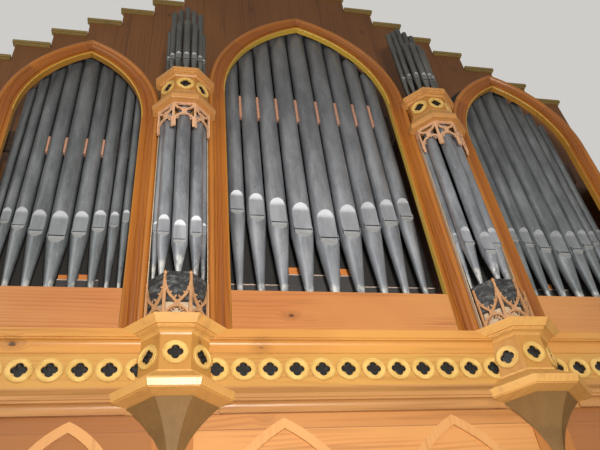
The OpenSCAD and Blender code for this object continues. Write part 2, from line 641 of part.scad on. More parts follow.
// the corbel narrows to a point on the stile
corbel_top = foot_bot;
module hollow_taper(u0, u1, z0, z1) {
  h = z1 - z0; w = u1 - u0; r = (w*w + h*h)/(2*w);
  difference() {
    translate([-far, z0]) square([far + u1, h]);
    translate([u0 + r, z0]) circle(r = r, $fn = 180);
  }
}
module tower_corbels() { color(pine_deep) place() both() intersection() {
  z0 = corbel_top - corbel_h; z1 = corbel_top - seat;
  translate([tower_x, 0, 0]) intersection() {
    face_sweep(-90, 2*far) hollow_taper(8, cb_a - tower_back - 3, z0, z1);
    face_sweep(-45, 2*far) hollow_taper(12, cb_a - tower_back/sqrt(2) - 6, z0, z1);
    face_sweep(-135, 2*far) hollow_taper(12, cb_a - tower_back/sqrt(2) - 6, z0, z1);
  }
  translate([tower_x - far, -far, z0]) cube([2*far, far - seat, z1 - z0]);
} }
module tower_bases() { color(pine) place() both() difference() {
  tower_form(0, corbel_top, z_up) base_profile();
  on_faces(band_a, tower_disc_z) foil_cut();
} }
module tower_roundels() { color(pine_pale) place() both() {
  on_faces(band_a + seat/3, tower_disc_z) roundel();
  on_faces(crown_a + seat/3, crown_foil_z) roundel();
} }
// dark block that carries the feet, on a pale shaft
inner_half = cheek_in - seat;
module tower_core(a, z0, z1) { intersection() {
  tower_form(frame_back, z0, z1) translate([-reach, z0]) square([reach + a, z1 - z0]);
  translate([tower_x - tower_gap/2 + seat, -far, z0]) cube([tower_gap - 2*seat, 2*far, z1 - z0]);
  union() {
    translate([tower_x - inner_half, -far, z0]) cube([2*inner_half, far + frame_y, z1 - z0]);
    translate([tower_x - tower_gap/2, frame_y, z0]) cube([tower_gap, far, z1 - z0]);
  }
} }
module tower_shafts() { color(pine_pale) place() both() tower_core(block_a - 16, z_up, block_top - block_h); }
module toe_blocks() { color(dark) place() both() tower_core(block_a, block_top - block_h, block_top); }
module tower_galleries() { color(pine) place() both()
  screen_ring(gallery_a, z_up + seat, gallery_h - 60, 0, gallery_h - 20, 0.16*gallery_h, 47, 0.43*gallery_h, 0.84*gallery_h, 0, frame_y - cheek_out - seat); }
module tower_pipes() { color(zinc) place() both() translate([tower_x, tower_back, 0])
  for (s = [-1, 1], j = [0:2]) if (j > 0 || s > 0) translate([s*tower_pipes_at[j][0], tower_pipes_at[j][1], 0])
    pipe(pipe_t*tower_share[j], block_top + seat, mouth_t + pipe_t*tower_rise[j], crown_top - crown_h - 20 - 25*j); }
module tower_cheeks() { color(pine_pale) place() both() for (s = [-1, 1])
  translate([tower_x + s*(cheek_in + cheek_t/2) - cheek_t/2, frame_y - cheek_out, z_up + seat])
    cube([cheek_t, frame_d + cheek_out, crown_top - crown_h - z_up - seat*2]); }
module tower_backs() { color(dark) place() both()
  translate([part_c + part_t, frame_back + 2*seat, z_up]) cube([part_s - part_c - part_t, 12, crown_top - crown_h - z_up]); }
module pipe_shades() { color([0.88, 0.70, 0.58]) place() both()
  screen_ring(shade_a, crown_top - crown_h - shade_h - seat, shade_h, 26, shade_h, 62, 50, 167, 232, 20, frame_y - seat); }
module tower_crowns() { color(pine) place() both() difference() {
  union() {
    tower_form(frame_y - seat, crown_top - crown_h, crown_top) crown_profile();
    translate([tower_x - tower_gap/2 + seat, frame_y - 1, crown_top - crown_h]) cube([tower_gap - 2*seat, frame_d, crown_h]);
  }
  on_faces(crown_a, crown_foil_z) foil_cut();
} }
crown_spots = [[0, 1], [24, 0.92], [47, 0.84], [68, 0.75]];
crown_ring = crown_a - 25;
module crown_pipes() { color(zinc) place() both() translate([tower_x, tower_back, 0]) {
  for (s = [-1, 1], j = [0:3]) if (j > 0 || s > 0) rotate([0, 0, s*crown_spots[j][0]]) translate([0, -crown_ring, 0])
    rotate([0, 0, -s*crown_spots[j][0]]) pipe(pipe_u*crown_spots[j][1], crown_top + seat, crown_top + mouth_u + 0.5*pipe_u*j, crown_top + row_u - 0.25*pipe_u*j);
  for (k = [-2:2]) translate([k*1.02*pipe_u, -8, 0]) pipe(0.92*pipe_u, crown_top + seat, crown_top + 1.4*mouth_u + 0.4*pipe_u*abs(k), crown_top + back_u - pipe_u*abs(k));
} }
function step_z(k) = step_top - k*step_drop;
module screen_boards() { color(brown) place() for (k = [-steps:steps])
  translate([k*step_w - step_w/2 + seat, screen_y, z_up]) cube([step_w - 2*seat, screen_board, step_z(abs(k)) - cap_h - z_up]); }
module screen_caps() { color([0.50, 0.42, 0.24]) place() {
  cap(-step_w/2 - cap_out, step_w/2 + cap_out, step_z(0));
  for (k = [1:steps]) both() cap((k - 0.5)*step_w + seat, (k + 0.5)*step_w + cap_out, step_z(k));
} }
module cap(x0, x1, z) {
  translate([x0, screen_y - cap_out, z - cap_h*0.62]) cube([x1 - x0, screen_board + cap_out, cap_h*0.62]);
  translate([x0, screen_y - cap_out*0.5, z - cap_h]) cube([x1 - x0 - cap_out*0.5, screen_board + cap_out*0.5, cap_h]);
}
module screen_battens() { color(brown) place() for (z = [0.12, 0.44, 0.76]*step_z(steps))
  translate([-(steps + 0.4)*step_w, screen_y + screen_board, z]) cube([2*(steps + 0.4)*step_w, 30, 90]);
}
// dark lining close behind the pipes, pointed like the bays
module dark_panels() { color(dark) place() {
  lining(part_c - seat, centre_r + (centre_frame - centre_half + part_c)/2, centre_spring);
  both() translate([side_x, 0, 0]) lining(side_half + 32 - seat, side_r + 32, side_spring);
} }
module lining(w, r, zs) {
  translate([0, rack_y + rack_t + seat + 12, 0]) rotate([90, 0, 0]) linear_extrude(12)
    pointed(w, r, zs + panel_lift, z_up + seat);
}

plinth();
lower_panels();
lower_stiles();
bottom_rail();
blind_arches_centre();
blind_arches_side();
base_returns();
base_sides();
base_back();
deck();
lower_moulding();
frieze_board();
frieze_roundels();
upper_moulding();
sill_boards();
toe_boards();
rack_boards();
case_partitions();
upper_sides();
pipe_rails();
centre_arch_posts();
centre_arch_head();
left_arch_posts();
left_arch_head();
right_arch_posts();
right_arch_head();
centre_pipes();
left_pipes();
right_pipes();
tower_corbels();
tower_bases();
tower_roundels();
tower_shafts();
toe_blocks();
tower_galleries();
tower_pipes();
tower_cheeks();
tower_backs();
pipe_shades();
tower_crowns();
crown_pipes();
screen_boards();
screen_caps();
screen_battens();
dark_panels();
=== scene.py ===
# %% [markdown]
# # A pine pipe organ, dressed in Blender
# The packed CAD model comes in as a fixed frame: every moulding, pipe, arch and board is already in
# place, in metres. This lesson gives each of them a finish, and adds what is too small or too loosely
# carved for the CAD. We load the frame first and keep its box, because nothing may grow past it.

# %% Load the frame
import math

import bmesh
import bpy
from mathutils import Matrix, Vector


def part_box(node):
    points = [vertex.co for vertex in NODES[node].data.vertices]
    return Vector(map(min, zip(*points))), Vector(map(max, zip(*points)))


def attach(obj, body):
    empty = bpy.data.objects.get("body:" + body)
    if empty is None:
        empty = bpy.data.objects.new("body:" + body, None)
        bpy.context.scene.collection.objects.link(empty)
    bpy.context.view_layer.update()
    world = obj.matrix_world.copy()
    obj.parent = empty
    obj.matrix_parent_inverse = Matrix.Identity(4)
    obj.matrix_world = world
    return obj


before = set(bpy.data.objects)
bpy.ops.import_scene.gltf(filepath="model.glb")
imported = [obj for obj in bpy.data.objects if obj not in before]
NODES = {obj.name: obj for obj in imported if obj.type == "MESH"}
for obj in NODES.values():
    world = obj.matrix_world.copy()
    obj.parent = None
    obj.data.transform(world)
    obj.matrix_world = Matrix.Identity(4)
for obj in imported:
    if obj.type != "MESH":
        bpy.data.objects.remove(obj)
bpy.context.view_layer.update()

print("nodes:", len(NODES))

# %% [markdown]
# ## Places on the organ
# Later sizes are worked out from boxes of the frame, so the scene follows the CAD when it changes. Most
# of them hang on the top of the sills, where all pipe feet stand, and on the face of the frieze. A
# tower is an octagon round its own axis: half the width of its toe block, taken off the block's box,
# gives the place of that axis.

# %% Read the driving places
X, Y, Z = 0, 1, 2
BLOCK_HALF = 0.143

def span(node, axis):
    low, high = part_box(node)
    return low[axis], high[axis]

def middle_of(node, axis):
    return sum(span(node, axis)) / 2

SILL_Z = span("sill_boards", Z)[1]
FACE_Y = span("frieze_board", Y)[0]
FRIEZE_Z = middle_of("frieze_board", Z)
BAY_X = middle_of("right_arch_posts", X)
TOWER_X = span("toe_blocks", X)[1] - BLOCK_HALF
TOWER_Y = span("toe_blocks", Y)[0] + BLOCK_HALF
print("sill height %.3f m, frieze face %.3f m, towers at %.3f m, side bays at %.3f m"
      % (SILL_Z, FACE_Y, TOWER_X, BAY_X))

# %% [markdown]
# ## The camera
# The photograph was taken from near the floor, to the left of the middle, with the camera tipped far
# up and a little off level. Place, turn and lens below were worked out from the verticals, the arches
# and the frieze. We build the camera's own three axes and hand them over as one matrix, which is safer
# than guessing three Euler angles.

# %% Make the camera
EYE_LEFT, EYE_FRONT, EYE_BELOW = 0.880, 2.606, 1.949
EYE = Vector((-EYE_LEFT, FACE_Y - EYE_FRONT, SILL_Z - EYE_BELOW))
YAW, PITCH, ROLL = (math.radians(angle) for angle in (14.486, 41.202, -7.430))
FOCAL_PX, PHOTO_W, SENSOR_MM = 631.7, 600.0, 36.0

def make_camera():
    ahead = Vector((math.sin(YAW) * math.cos(PITCH), math.cos(YAW) * math.cos(PITCH), math.sin(PITCH)))
    level_right = Vector((math.cos(YAW), -math.sin(YAW), 0))
    level_up = level_right.cross(ahead)
    right = level_right * math.cos(ROLL) + level_up * math.sin(ROLL)
    up = level_up * math.cos(ROLL) - level_right * math.sin(ROLL)
    lens = bpy.data.cameras.new("camera")
    lens.sensor_width = SENSOR_MM
    lens.lens = FOCAL_PX * SENSOR_MM / PHOTO_W
    lens.clip_end = 100
    camera = bpy.data.objects.new("camera", lens)
    bpy.context.scene.collection.objects.link(camera)
    turn = Matrix((right, up, -ahead)).transposed().to_4x4()
    camera.matrix_world = Matrix.Translation(EYE) @ turn
    bpy.context.scene.camera = camera
    return camera

camera = make_camera()
print("camera at", [round(v, 3) for v in camera.location])

# %% [markdown]
# ## Shader sums written as Python
# A finish is mostly arithmetic on textures. The small class below wraps a socket, so `1 - mask` or
# `a * b + c` adds its Math nodes by itself. Each sign of Python becomes a method that makes one node,
# and the swapped methods serve sums that start with a plain number.

# %% A socket that Python's signs work on
def sum_of(operation, swapped=False):
    def method(self, other=0):
        first, second = (other, self) if swapped else (self, other)
        return self.finish.node("ShaderNodeMath", {"operation": operation}, first, second)
    return method

class Amount:
    __add__, __radd__ = sum_of("ADD"), sum_of("ADD", swapped=True)
    __sub__, __rsub__ = sum_of("SUBTRACT"), sum_of("SUBTRACT", swapped=True)
    __mul__, __rmul__ = sum_of("MULTIPLY"), sum_of("MULTIPLY", swapped=True)
    __truediv__, __abs__ = sum_of("DIVIDE"), sum_of("ABSOLUTE")
    __gt__, __lt__ = sum_of("GREATER_THAN"), sum_of("LESS_THAN")
    floor, fraction = sum_of("FLOOR"), sum_of("FRACT")
    sine, root = sum_of("SINE"), sum_of("SQRT")
    arctan2, larger = sum_of("ARCTAN2"), sum_of("MAXIMUM")

    def __init__(self, finish, socket):
        self.finish, self.socket = finish, socket

    def step(self, low, high):
        """0 below low, 1 above high, and smooth between."""
        settings = {"interpolation_type": "SMOOTHSTEP"}
        return self.finish.node("ShaderNodeMapRange", settings, self, low, high, 0.0, 1.0)

print("sums:", sorted(name for name in vars(Amount) if not name.startswith("__")))

# %% [markdown]
# A finish starts from Object coordinates, because the frame's meshes all sit at the origin: the
# pattern is then fixed in real metres, and a 2 mm fibre stays 2 mm on every board. Besides the sums,
# one method makes every node: it takes the type, the settings, and then the values or links of the
# sockets. The others are short names for the nodes that wood and metal need most.

# %% A finish: one material and its nodes
class Finish:
    def __init__(self, name):
        self.material = bpy.data.materials.new(name)
        self.material.use_nodes = True
        self.tree = self.material.node_tree
        self.shader = self.tree.nodes["Principled BSDF"]
        self.x, self.y, self.z = self.parts(self.node("ShaderNodeTexCoord", {}, out="Object"))

    def put(self, socket, value):
        if isinstance(value, Amount):
            self.tree.links.new(value.socket, socket)
        elif value is not None:
            socket.default_value = value

    def node(self, kind, settings, *values, out=0, **named):
        node = self.tree.nodes.new(kind)
        for key, setting in settings.items():
            setattr(node, key, setting)
        for socket, value in zip(node.inputs, values):
            self.put(socket, value)
        for key, value in named.items():
            self.put(node.inputs[key], value)
        return Amount(self, node.outputs[out])

    def parts(self, vector):
        """The three numbers of a vector."""
        split = self.tree.nodes.new("ShaderNodeSeparateXYZ")
        self.put(split.inputs[0], vector)
        return [Amount(self, output) for output in split.outputs]

    def point(self, x, y, z):
        return self.node("ShaderNodeCombineXYZ", {}, x, y, z)

    def noise(self, point, detail=3.0, rough=0.5):
        return self.node("ShaderNodeTexNoise", {}, Vector=point, Scale=1.0, Detail=detail, Roughness=rough)

    def grain(self, across, along, detail, rough, axes=None):
        """Noise with so many waves per metre across and along the last of the three axes."""
        x, y, z = axes or (self.x, self.y, self.z)
        return self.noise(self.point(x * across, y * across, z * along), detail, rough)

    def chance(self, value):
        return self.node("ShaderNodeTexWhiteNoise", {"noise_dimensions": "1D"}, W=value)

    def blend(self, share, first, second):
        node = self.tree.nodes.new("ShaderNodeMix")
        node.data_type, node.blend_type = "RGBA", "MIX"
        for index, value in ((0, share), (6, first), (7, second)):
            self.put(node.inputs[index], value)
        return Amount(self, node.outputs[2])

    def relief(self, height, distance, strength=0.6):
        return self.node("ShaderNodeBump", {}, Strength=strength, Distance=distance, Height=height,
                         out="Normal")

    def set(self, **sockets):
        for name, value in sockets.items():
            self.put(self.shader.inputs[name.replace("_", " ")], value)
        return self.material

print("a finish can:", ", ".join(name for name in vars(Finish) if not name.startswith("_")))

# %% [markdown]
# Tones are written as on a paint chart, from 0 to 255, because they were compared with the photograph
# that way. Nodes reckon in linear light, so each number is turned once, here.

# %% Tones
def linear(value):
    share = value / 255
    return share / 12.92 if value < 11 else ((share + 0.055) / 1.055) ** 2.4

def rgb(red, green, blue):
    return (linear(red), linear(green), linear(blue), 1.0)

def darker(colour, share):
    return rgb(*[value * share for value in colour])

print("half of the paint chart's white is %.2f in linear light" % linear(127.5))

# %% [markdown]
# ## Oiled pine
# Pine shows four things at four scales: broad patches of darker and lighter heartwood, the flame
# figure where the saw cut the year rings, a fine fibre, and here and there a knot that the rings bend
# round. A picture of wood could be laid on, but it would need unwrapped boards and would repeat.
# Noise in real metres has no seams and fits every board. Knots come first, from the cells of a
# Voronoi texture, of which only some are chosen, and then the rings, which the knots push aside.

# %% Knots and year rings
KNOTS_ACROSS, KNOTS_ALONG, KNOTS_CHOSEN = 6.5, 3.6, (0.66, 0.68)
RING_WAVES, FIBRE_ACROSS, FIBRE_ALONG = 230, 300, 8

def knots(finish, place, number):
    """Two masks: the dark heart of a knot, and the wider swirl round it."""
    across, depth, length = place
    texture = finish.tree.nodes.new("ShaderNodeTexVoronoi")
    finish.put(texture.inputs["Vector"], finish.point(
        across * KNOTS_ACROSS + number * 0.37, depth * KNOTS_ACROSS, length * KNOTS_ALONG))
    texture.inputs["Scale"].default_value = 1.0
    reach = Amount(finish, texture.outputs["Distance"])
    draw = finish.node("ShaderNodeSeparateColor", {}, Amount(finish, texture.outputs["Color"]))
    chosen = draw.step(*KNOTS_CHOSEN)
    return (1 - reach.step(0.035, 0.075)) * chosen, (1 - reach.step(0.05, 0.30)) * chosen

def year_rings(finish, place, number, swirl):
    """The flame figure of a plank, long in the direction of its grain, and its fibre, both 0 to 1."""
    across, depth, length = place
    warp = finish.noise(finish.point(across * 2.6 + number * 5, depth * 2.6, length * 0.42), 2.0)
    rings = (across * RING_WAVES + warp * 80 + swirl * 11).sine() * 0.5 + 0.5
    fibre = finish.grain(FIBRE_ACROSS, FIBRE_ALONG, 2.0, 0.6, place)
    fade = finish.noise(finish.point(across * 6 + 3, depth * 6, length * 1.1), 2.0).step(0.40, 0.64)
    return rings * rings * fade * 0.6 + fibre * 0.4, fibre

print("rings: one every %.0f mm before they are bent" % (math.tau / RING_WAVES * 1000))

# %% [markdown]
# Each plank has its own draw of all four things, so the plank's number, from its place, shifts the
# noise. The joints between planks are a hair of shadow, and a thin coat stands for the oil. A part of
# the depth is added to the distance across the grain, so a slanted face doesn't just smear its figure.

# %% The pine recipe
PLANK_JOINT, DEPTH_SHARE = 0.0012, 0.83
KNOT_HEART, JOINT_SHADOW = (58, 30, 14), (40, 22, 10)

def wood_tone(finish, place, number, light, dark, figure, joint=None):
    """Colour, ring mask and height of pine; place holds across the grain, depth and along it."""
    across, depth, length = place
    heart, swirl = knots(finish, place, number)
    ring, fibre = year_rings(finish, place, number, swirl)
    patch = finish.noise(finish.point(across * 1.7 + number * 3, depth, length * 0.8), 3.0, 0.6)
    tone = ring * figure + patch.step(0.28, 0.72) * (1 - figure)
    colour = finish.blend(tone, rgb(*light), rgb(*dark))
    colour = finish.blend((finish.chance(number) - 0.5) * 0.5 + 0.25, colour, darker(dark, 0.8))
    streak = finish.grain(22, 0.7, 3.0, 0.6, place)
    colour = finish.blend(streak.step(0.54, 0.74) * 0.45, colour, darker(dark, 0.72))
    colour = finish.blend(swirl * 0.35, colour, darker(dark, 0.66))
    colour = finish.blend(heart * 0.85, colour, rgb(*KNOT_HEART))
    height = fibre * 0.6 - heart * 0.5
    if joint is not None:
        colour = finish.blend(joint * 0.6, colour, rgb(*JOINT_SHADOW))
        height = height - joint * 2
    return colour, ring, height

def pine(name, light, dark, along="z", plank=0.0, gloss=0.36, figure=0.55, shade=None):
    finish = Finish(name)
    across, length = (finish.x, finish.z) if along == "z" else (finish.z, finish.x)
    place = (across + finish.y * DEPTH_SHARE, finish.y, length)
    number, joint = 0.0, None
    if plank:
        number, side = (place[0] / plank).floor(), (place[0] / plank).fraction()
        joint = 1 - (side * (1 - side) * plank).step(PLANK_JOINT * 0.5, PLANK_JOINT * 1.6)
    colour, ring, height = wood_tone(finish, place, number, light, dark, figure, joint)
    if shade:
        colour = shade(finish, colour)
    return finish.set(Base_Color=colour, Roughness=ring * 0.14 + gloss, Coat_Weight=0.14,
                      Coat_Roughness=0.35, Normal=finish.relief(height, 0.0006))

print("pine recipe ready, plank joints %.1f mm" % (PLANK_JOINT * 1000))

# %% [markdown]
# ## What the carver cut through
# The quatrefoils go right through the boards on the real case and show the dark inside. Ours are cut
# half way, and their floors are painted near black: painted shade that stands for that dark inside,
# with pale specks of dust. A second material on the floors' faces would do it too, but a CAD mesh is
# loose triangles, and a mask by place needs none of them picked out. A point is inside a cut when it
# lies more than a millimetre or two behind the board's face: on the frieze that is a plain depth, on
# the towers it is the distance to the nearest of the octagon's faces.

# %% Painted shade and dust on the quatrefoils' floors
CUT_SHADE, CUT_DUST = (26, 24, 22), (98, 92, 84)
CUT_START, CUT_REACH, FRIEZE_END = 0.0015, 0.045, 2.02
BASE_FACE, CROWN_FACE, DRUM_REACH, DRUM_OUT = 0.168, 0.155, 0.12, 0.004

# Painted shade: a point inside a cut is painted near black for the dark inside of the case, with specks of
# dust.
def shade_and_dust(finish, colour, inside):
    speck = finish.grain(90, 90, 3.0, 0.7)
    black = finish.blend(speck.step(0.58, 0.74) * 0.5, rgb(*CUT_SHADE), rgb(*CUT_DUST))
    return finish.blend(inside, colour, black)

def frieze_cuts(finish, colour):
    inside = (finish.y > FACE_Y + CUT_START) * (abs(finish.z - FRIEZE_Z) < CUT_REACH)
    return shade_and_dust(finish, colour, inside * (abs(finish.x) < FRIEZE_END))

def tower_radius(finish):
    """Distance of a point from the tower's axis, counted square to the nearest octagon face."""
    side, front = abs(abs(finish.x) - TOWER_X), TOWER_Y - finish.y
    return front.larger((side + front) * math.sqrt(0.5)).larger(side)

def tower_cuts(face, disc_z):
    """The drum that carries the discs is more yellow than the mouldings over and under it."""
    def shade(finish, colour):
        off_z = abs(finish.z - disc_z)
        inside = (tower_radius(finish) < face - CUT_START) * (off_z < CUT_REACH)
        drum = (tower_radius(finish) < face + DRUM_OUT) * (off_z < DRUM_REACH)
        colour = finish.blend(drum * 0.45, colour, rgb(150, 100, 36))
        colour = finish.blend((1 - drum) * 0.12, colour, rgb(250, 204, 140))
        return shade_and_dust(finish, colour, inside)
    return shade

TOWER_DISC_R = 0.05933
BASE_DISC_Z = span("tower_roundels", Z)[0] + TOWER_DISC_R
CROWN_DISC_Z = span("tower_roundels", Z)[1] - TOWER_DISC_R
print("disc centres: base %.3f m, crown %.3f m" % (BASE_DISC_Z, CROWN_DISC_Z))

# %% [markdown]
# ## The boards' own tones
# The boards of the case differ in tone: yellow on the frieze, pale on the tower bases, redder on the
# sills, brown on the back screen. The panels outside the towers are painted darker and redder, as
# painted shade beside the towers. Each could be a material built by hand, but one recipe serves them
# all. A board says only its two tones, the way its grain runs, and the width of its planks where it is
# made of several.

# %% Pine of the boards
def shaded_side_panels(finish, colour):
    """Painted shade: the panels outside the towers are made darker and redder, for the shade of the
    towers' corbels and cornices.
    """
    outside = (abs(finish.x) > TOWER_X) * 0.8
    return finish.blend(outside, colour, rgb(140, 84, 38))

PINE_FACE = pine("pine_face", (222, 162, 82), (178, 112, 48), along="x")
PINE_PANEL = pine("pine_panel", (226, 164, 96), (180, 110, 54), along="x", plank=0.42, figure=0.75,
                  shade=shaded_side_panels)
PINE_STILE = pine("pine_stile", (204, 138, 68), (160, 92, 36))
PINE_ARCH = pine("pine_arch", (228, 170, 106), (202, 138, 78))
PINE_CASE = pine("pine_case", (196, 130, 70), (152, 94, 46), plank=0.26, figure=0.65)
PINE_MOULD = pine("pine_mould", (204, 150, 88), (154, 100, 52), along="x")
PINE_SILL = pine("pine_sill", (216, 154, 90), (170, 96, 48), along="x", figure=0.5)
PINE_FRIEZE = pine("pine_frieze", (214, 164, 84), (172, 114, 48), along="x", figure=0.65,
                   shade=frieze_cuts)
PINE_BASE = pine("pine_base", (230, 178, 94), (190, 130, 58), shade=tower_cuts(BASE_FACE, BASE_DISC_Z))
PINE_CROWN = pine("pine_crown", (206, 144, 70), (160, 96, 40), shade=tower_cuts(CROWN_FACE, CROWN_DISC_Z))
BACK_BOARD = pine("back_board", (136, 86, 38), (98, 56, 22), gloss=0.55, figure=0.6)
print("pine finishes:", [m.name for m in bpy.data.materials if m.name.startswith("pine")])

# %% [markdown]
# ## Roundels
# The turned rings are paler and more yellow than the board, with fine lathe marks. The marks are
# circles round each disc. A disc could carry its own coordinates, but the shader can also fold the
# row of discs into one, and the distance to the nearest disc centre is all that it needs.

# %% Turned rings with lathe marks
LATHE_WAVES, RIM, LOBE = 2600, (0.0535, 0.057), (0.030, 0.038)

def roundel_finish(name, along_face):
    finish = Finish(name)
    off_x, off_z = along_face(finish)
    reach = (off_x * off_x + off_z * off_z).root()
    mark = (reach * LATHE_WAVES).sine() * 0.5 + 0.5
    cloud, grain = finish.grain(14, 14, 3.0, 0.6), finish.grain(12, 210, 2.0, 0.6)
    colour = finish.blend(cloud.step(0.3, 0.7), rgb(222, 186, 108), rgb(200, 160, 82))
    colour = finish.blend(grain * 0.3, colour, rgb(176, 130, 62))
    colour = finish.blend(reach.step(*RIM) * 0.4, colour, rgb(150, 104, 46))
    colour = finish.blend((1 - reach.step(*LOBE)) * 0.35, colour, rgb(120, 84, 44))
    return finish.set(Base_Color=colour, Roughness=0.42 + cloud * 0.1, Coat_Weight=0.12,
                      Coat_Roughness=0.35, Normal=finish.relief(mark * 0.5 + grain, 0.0004))

DISC_PITCH = 0.125

def on_frieze(finish):
    in_side = abs(finish.x) > TOWER_X
    from_middle = abs(finish.x) - in_side * (BAY_X % DISC_PITCH) + (1 - in_side) * (DISC_PITCH / 2)
    folded = (from_middle / DISC_PITCH + 0.5).fraction() - 0.5
    return folded * DISC_PITCH, finish.z - FRIEZE_Z

def on_tower(finish):
    side, front = abs(finish.x) - TOWER_X, TOWER_Y - finish.y
    along_slant = (abs(side) - front) * math.sqrt(0.5)
    slanted = abs(side) > front * math.tan(math.radians(22.5))
    upper = finish.z > SILL_Z
    off_x = slanted * along_slant + (1 - slanted) * side
    return off_x, finish.z - upper * CROWN_DISC_Z - (1 - upper) * BASE_DISC_Z

RING_FRIEZE = roundel_finish("ring_frieze", on_frieze)
RING_TOWER = roundel_finish("ring_tower", on_tower)
print("roundel finishes ready, discs %.3f m apart on the frieze" % DISC_PITCH)

# %% [markdown]
# ## Arch frames
# The frames are a darker, redder pine, and their grain has to follow the arch: each half of a head is
# sawn from short curved pieces that meet at butt joints. So for a head we swap the straight axes for
# the arc's own: distance from the arc's centre goes across the grain, and angle times radius along it.

# %% Bent grain
FRAME_JOINT = (0.0012, 0.0036)

def bent_place(finish, middle, half, radius, spring):
    """Across, depth and along for a frame's straight posts and for its arcs, with joints in these."""
    off, dz = abs(finish.x - middle), finish.z - spring
    dx = off + (radius - half)
    angle = dz.arctan2(dx)
    share = angle / (math.acos((radius - half) / radius) / 2)
    side, above = share.fraction(), finish.z > spring
    across = above * ((dx * dx + dz * dz).root() - radius) + (1 - above) * (off - half)
    length = above * angle * radius + (1 - above) * dz
    number = (share.floor() + (finish.x > middle) * 7) * above + 3
    joint = (1 - (side * (1 - side)).step(*FRAME_JOINT)) * above
    return (across, finish.y, length), number, joint, above

print("grain can follow an arc")

# %% [markdown]
# A hollow and a bead run round the frame at fixed shares of its width, so both are masks of the
# distance across: the hollow gets painted shade and the bead a painted highlight. The edge at the
# opening is yellow, and so is the reveal behind it, most of all in the middle bay. The frames darken
# towards the top, as in the photograph.

# %% Frames of the three bays
FRAME_LIGHT, FRAME_DARK, FRAME_W = (196, 120, 34), (132, 68, 14), 0.120
HOLLOW_AT, BEAD_AT = 0.43, 0.82
REVEAL_END, ARRIS_END, ARRIS_STRENGTH = 0.0012, 0.008, (0.10, 0.45)
CENTRE_R, SIDE_R, CENTRE_YELLOW, SIDE_YELLOW = 1.000, 0.790, 0.75, 0.25

def frame_wood(name, middle, half, radius, spring, yellow):
    finish = Finish(name)
    place, number, joint, above = bent_place(finish, middle, half, radius, spring)
    colour, ring, height = wood_tone(finish, place, number, FRAME_LIGHT, FRAME_DARK, 0.6, joint)
    across = place[0]
    hollow_shade = 1 - abs(across / FRAME_W - HOLLOW_AT).step(0.10, 0.24)
    bead_highlight = 1 - abs(across / FRAME_W - BEAD_AT).step(0.02, 0.16)
    arris = (across > REVEAL_END) * (across < ARRIS_END) * (above * ARRIS_STRENGTH[1] + ARRIS_STRENGTH[0])
    # Painted shade in the hollow, and a painted highlight on the bead.
    colour = finish.blend(hollow_shade * 0.3, colour, rgb(118, 58, 20))
    colour = finish.blend(bead_highlight * 0.25, colour, rgb(206, 138, 66))
    colour = finish.blend((finish.z - SILL_Z).step(1.2, 2.6) * 0.35, colour, rgb(92, 44, 12))
    colour = finish.blend((across < REVEAL_END) * yellow, colour, rgb(206, 172, 62))
    colour = finish.blend(arris, colour, rgb(214, 180, 70))
    return finish.set(Base_Color=colour, Roughness=ring * 0.14 + 0.34, Coat_Weight=0.2,
                      Coat_Roughness=0.3, Normal=finish.relief(height, 0.0006))

def bay_frame(bay, middle, radius, yellow):
    low, high = span(bay + "_arch_posts", X)
    half, spring = (high - low) / 2 - FRAME_W, span(bay + "_arch_head", Z)[0]
    print("%s bay: opening %.3f m wide" % (bay, 2 * half))
    return frame_wood("frame_" + bay, middle, half, radius, spring, yellow)

FRAMES = {"centre": bay_frame("centre", 0.0, CENTRE_R, CENTRE_YELLOW),
          "left": bay_frame("left", -BAY_X, SIDE_R, SIDE_YELLOW),
          "right": bay_frame("right", BAY_X, SIDE_R, SIDE_YELLOW)}

# %% [markdown]
# ## Pipe metal
# The front pipes are an old zinc or lead alloy: blue-grey, clouded, with long pale streaks and scratches
# where hands and dust have run. The upper lip is pressed flat and ends in a half-round bevel that leans
# down; both get a painted highlight, and so does the cup of the lower lip. The flat and the bevel are
# the only parts of a pipe that face straight to the front or lean down, so the surface's own normal
# finds them on pipes of every size, and no face has to be picked.

# %% Where the lips get painted highlights
# The painted highlight on the toes fades out between these heights over the sill.
TOE_HIGHLIGHT_TOP = (0.118, 0.150)

def lip_highlight_masks(finish):
    """Masks of the painted highlights: the bevel over the mouth, the cup under it, and the flat between.
    """
    right, back, up = finish.parts(finish.node("ShaderNodeNewGeometry", {}, out="Normal"))
    sideways, front, down = abs(right), back * -1, up * -1
    bevel = down.step(0.10, 0.55) * front.step(0.4, 0.7)
    planar = (1 - sideways.step(0.001, 0.004)) * front.step(0.5, 0.7)
    cup = (1 - sideways.step(0.002, 0.008)) * up.step(0.06, 0.16) * front.step(0.5, 0.8)
    return bevel, cup, planar * (1 - bevel) * (1 - cup)

print("toes are pale up to %.3f m over the sill" % TOE_HIGHLIGHT_TOP[1])

# %% [markdown]
# The metal itself is four noises at four scales, long in the pipe's own direction: clouds, streaks,
# blotches and scratches. `dirt` says how strongly the pale marks show. Everything darkens with height,
# as it does in the photograph. The masks and their tones are one list, laid over each other in turn.

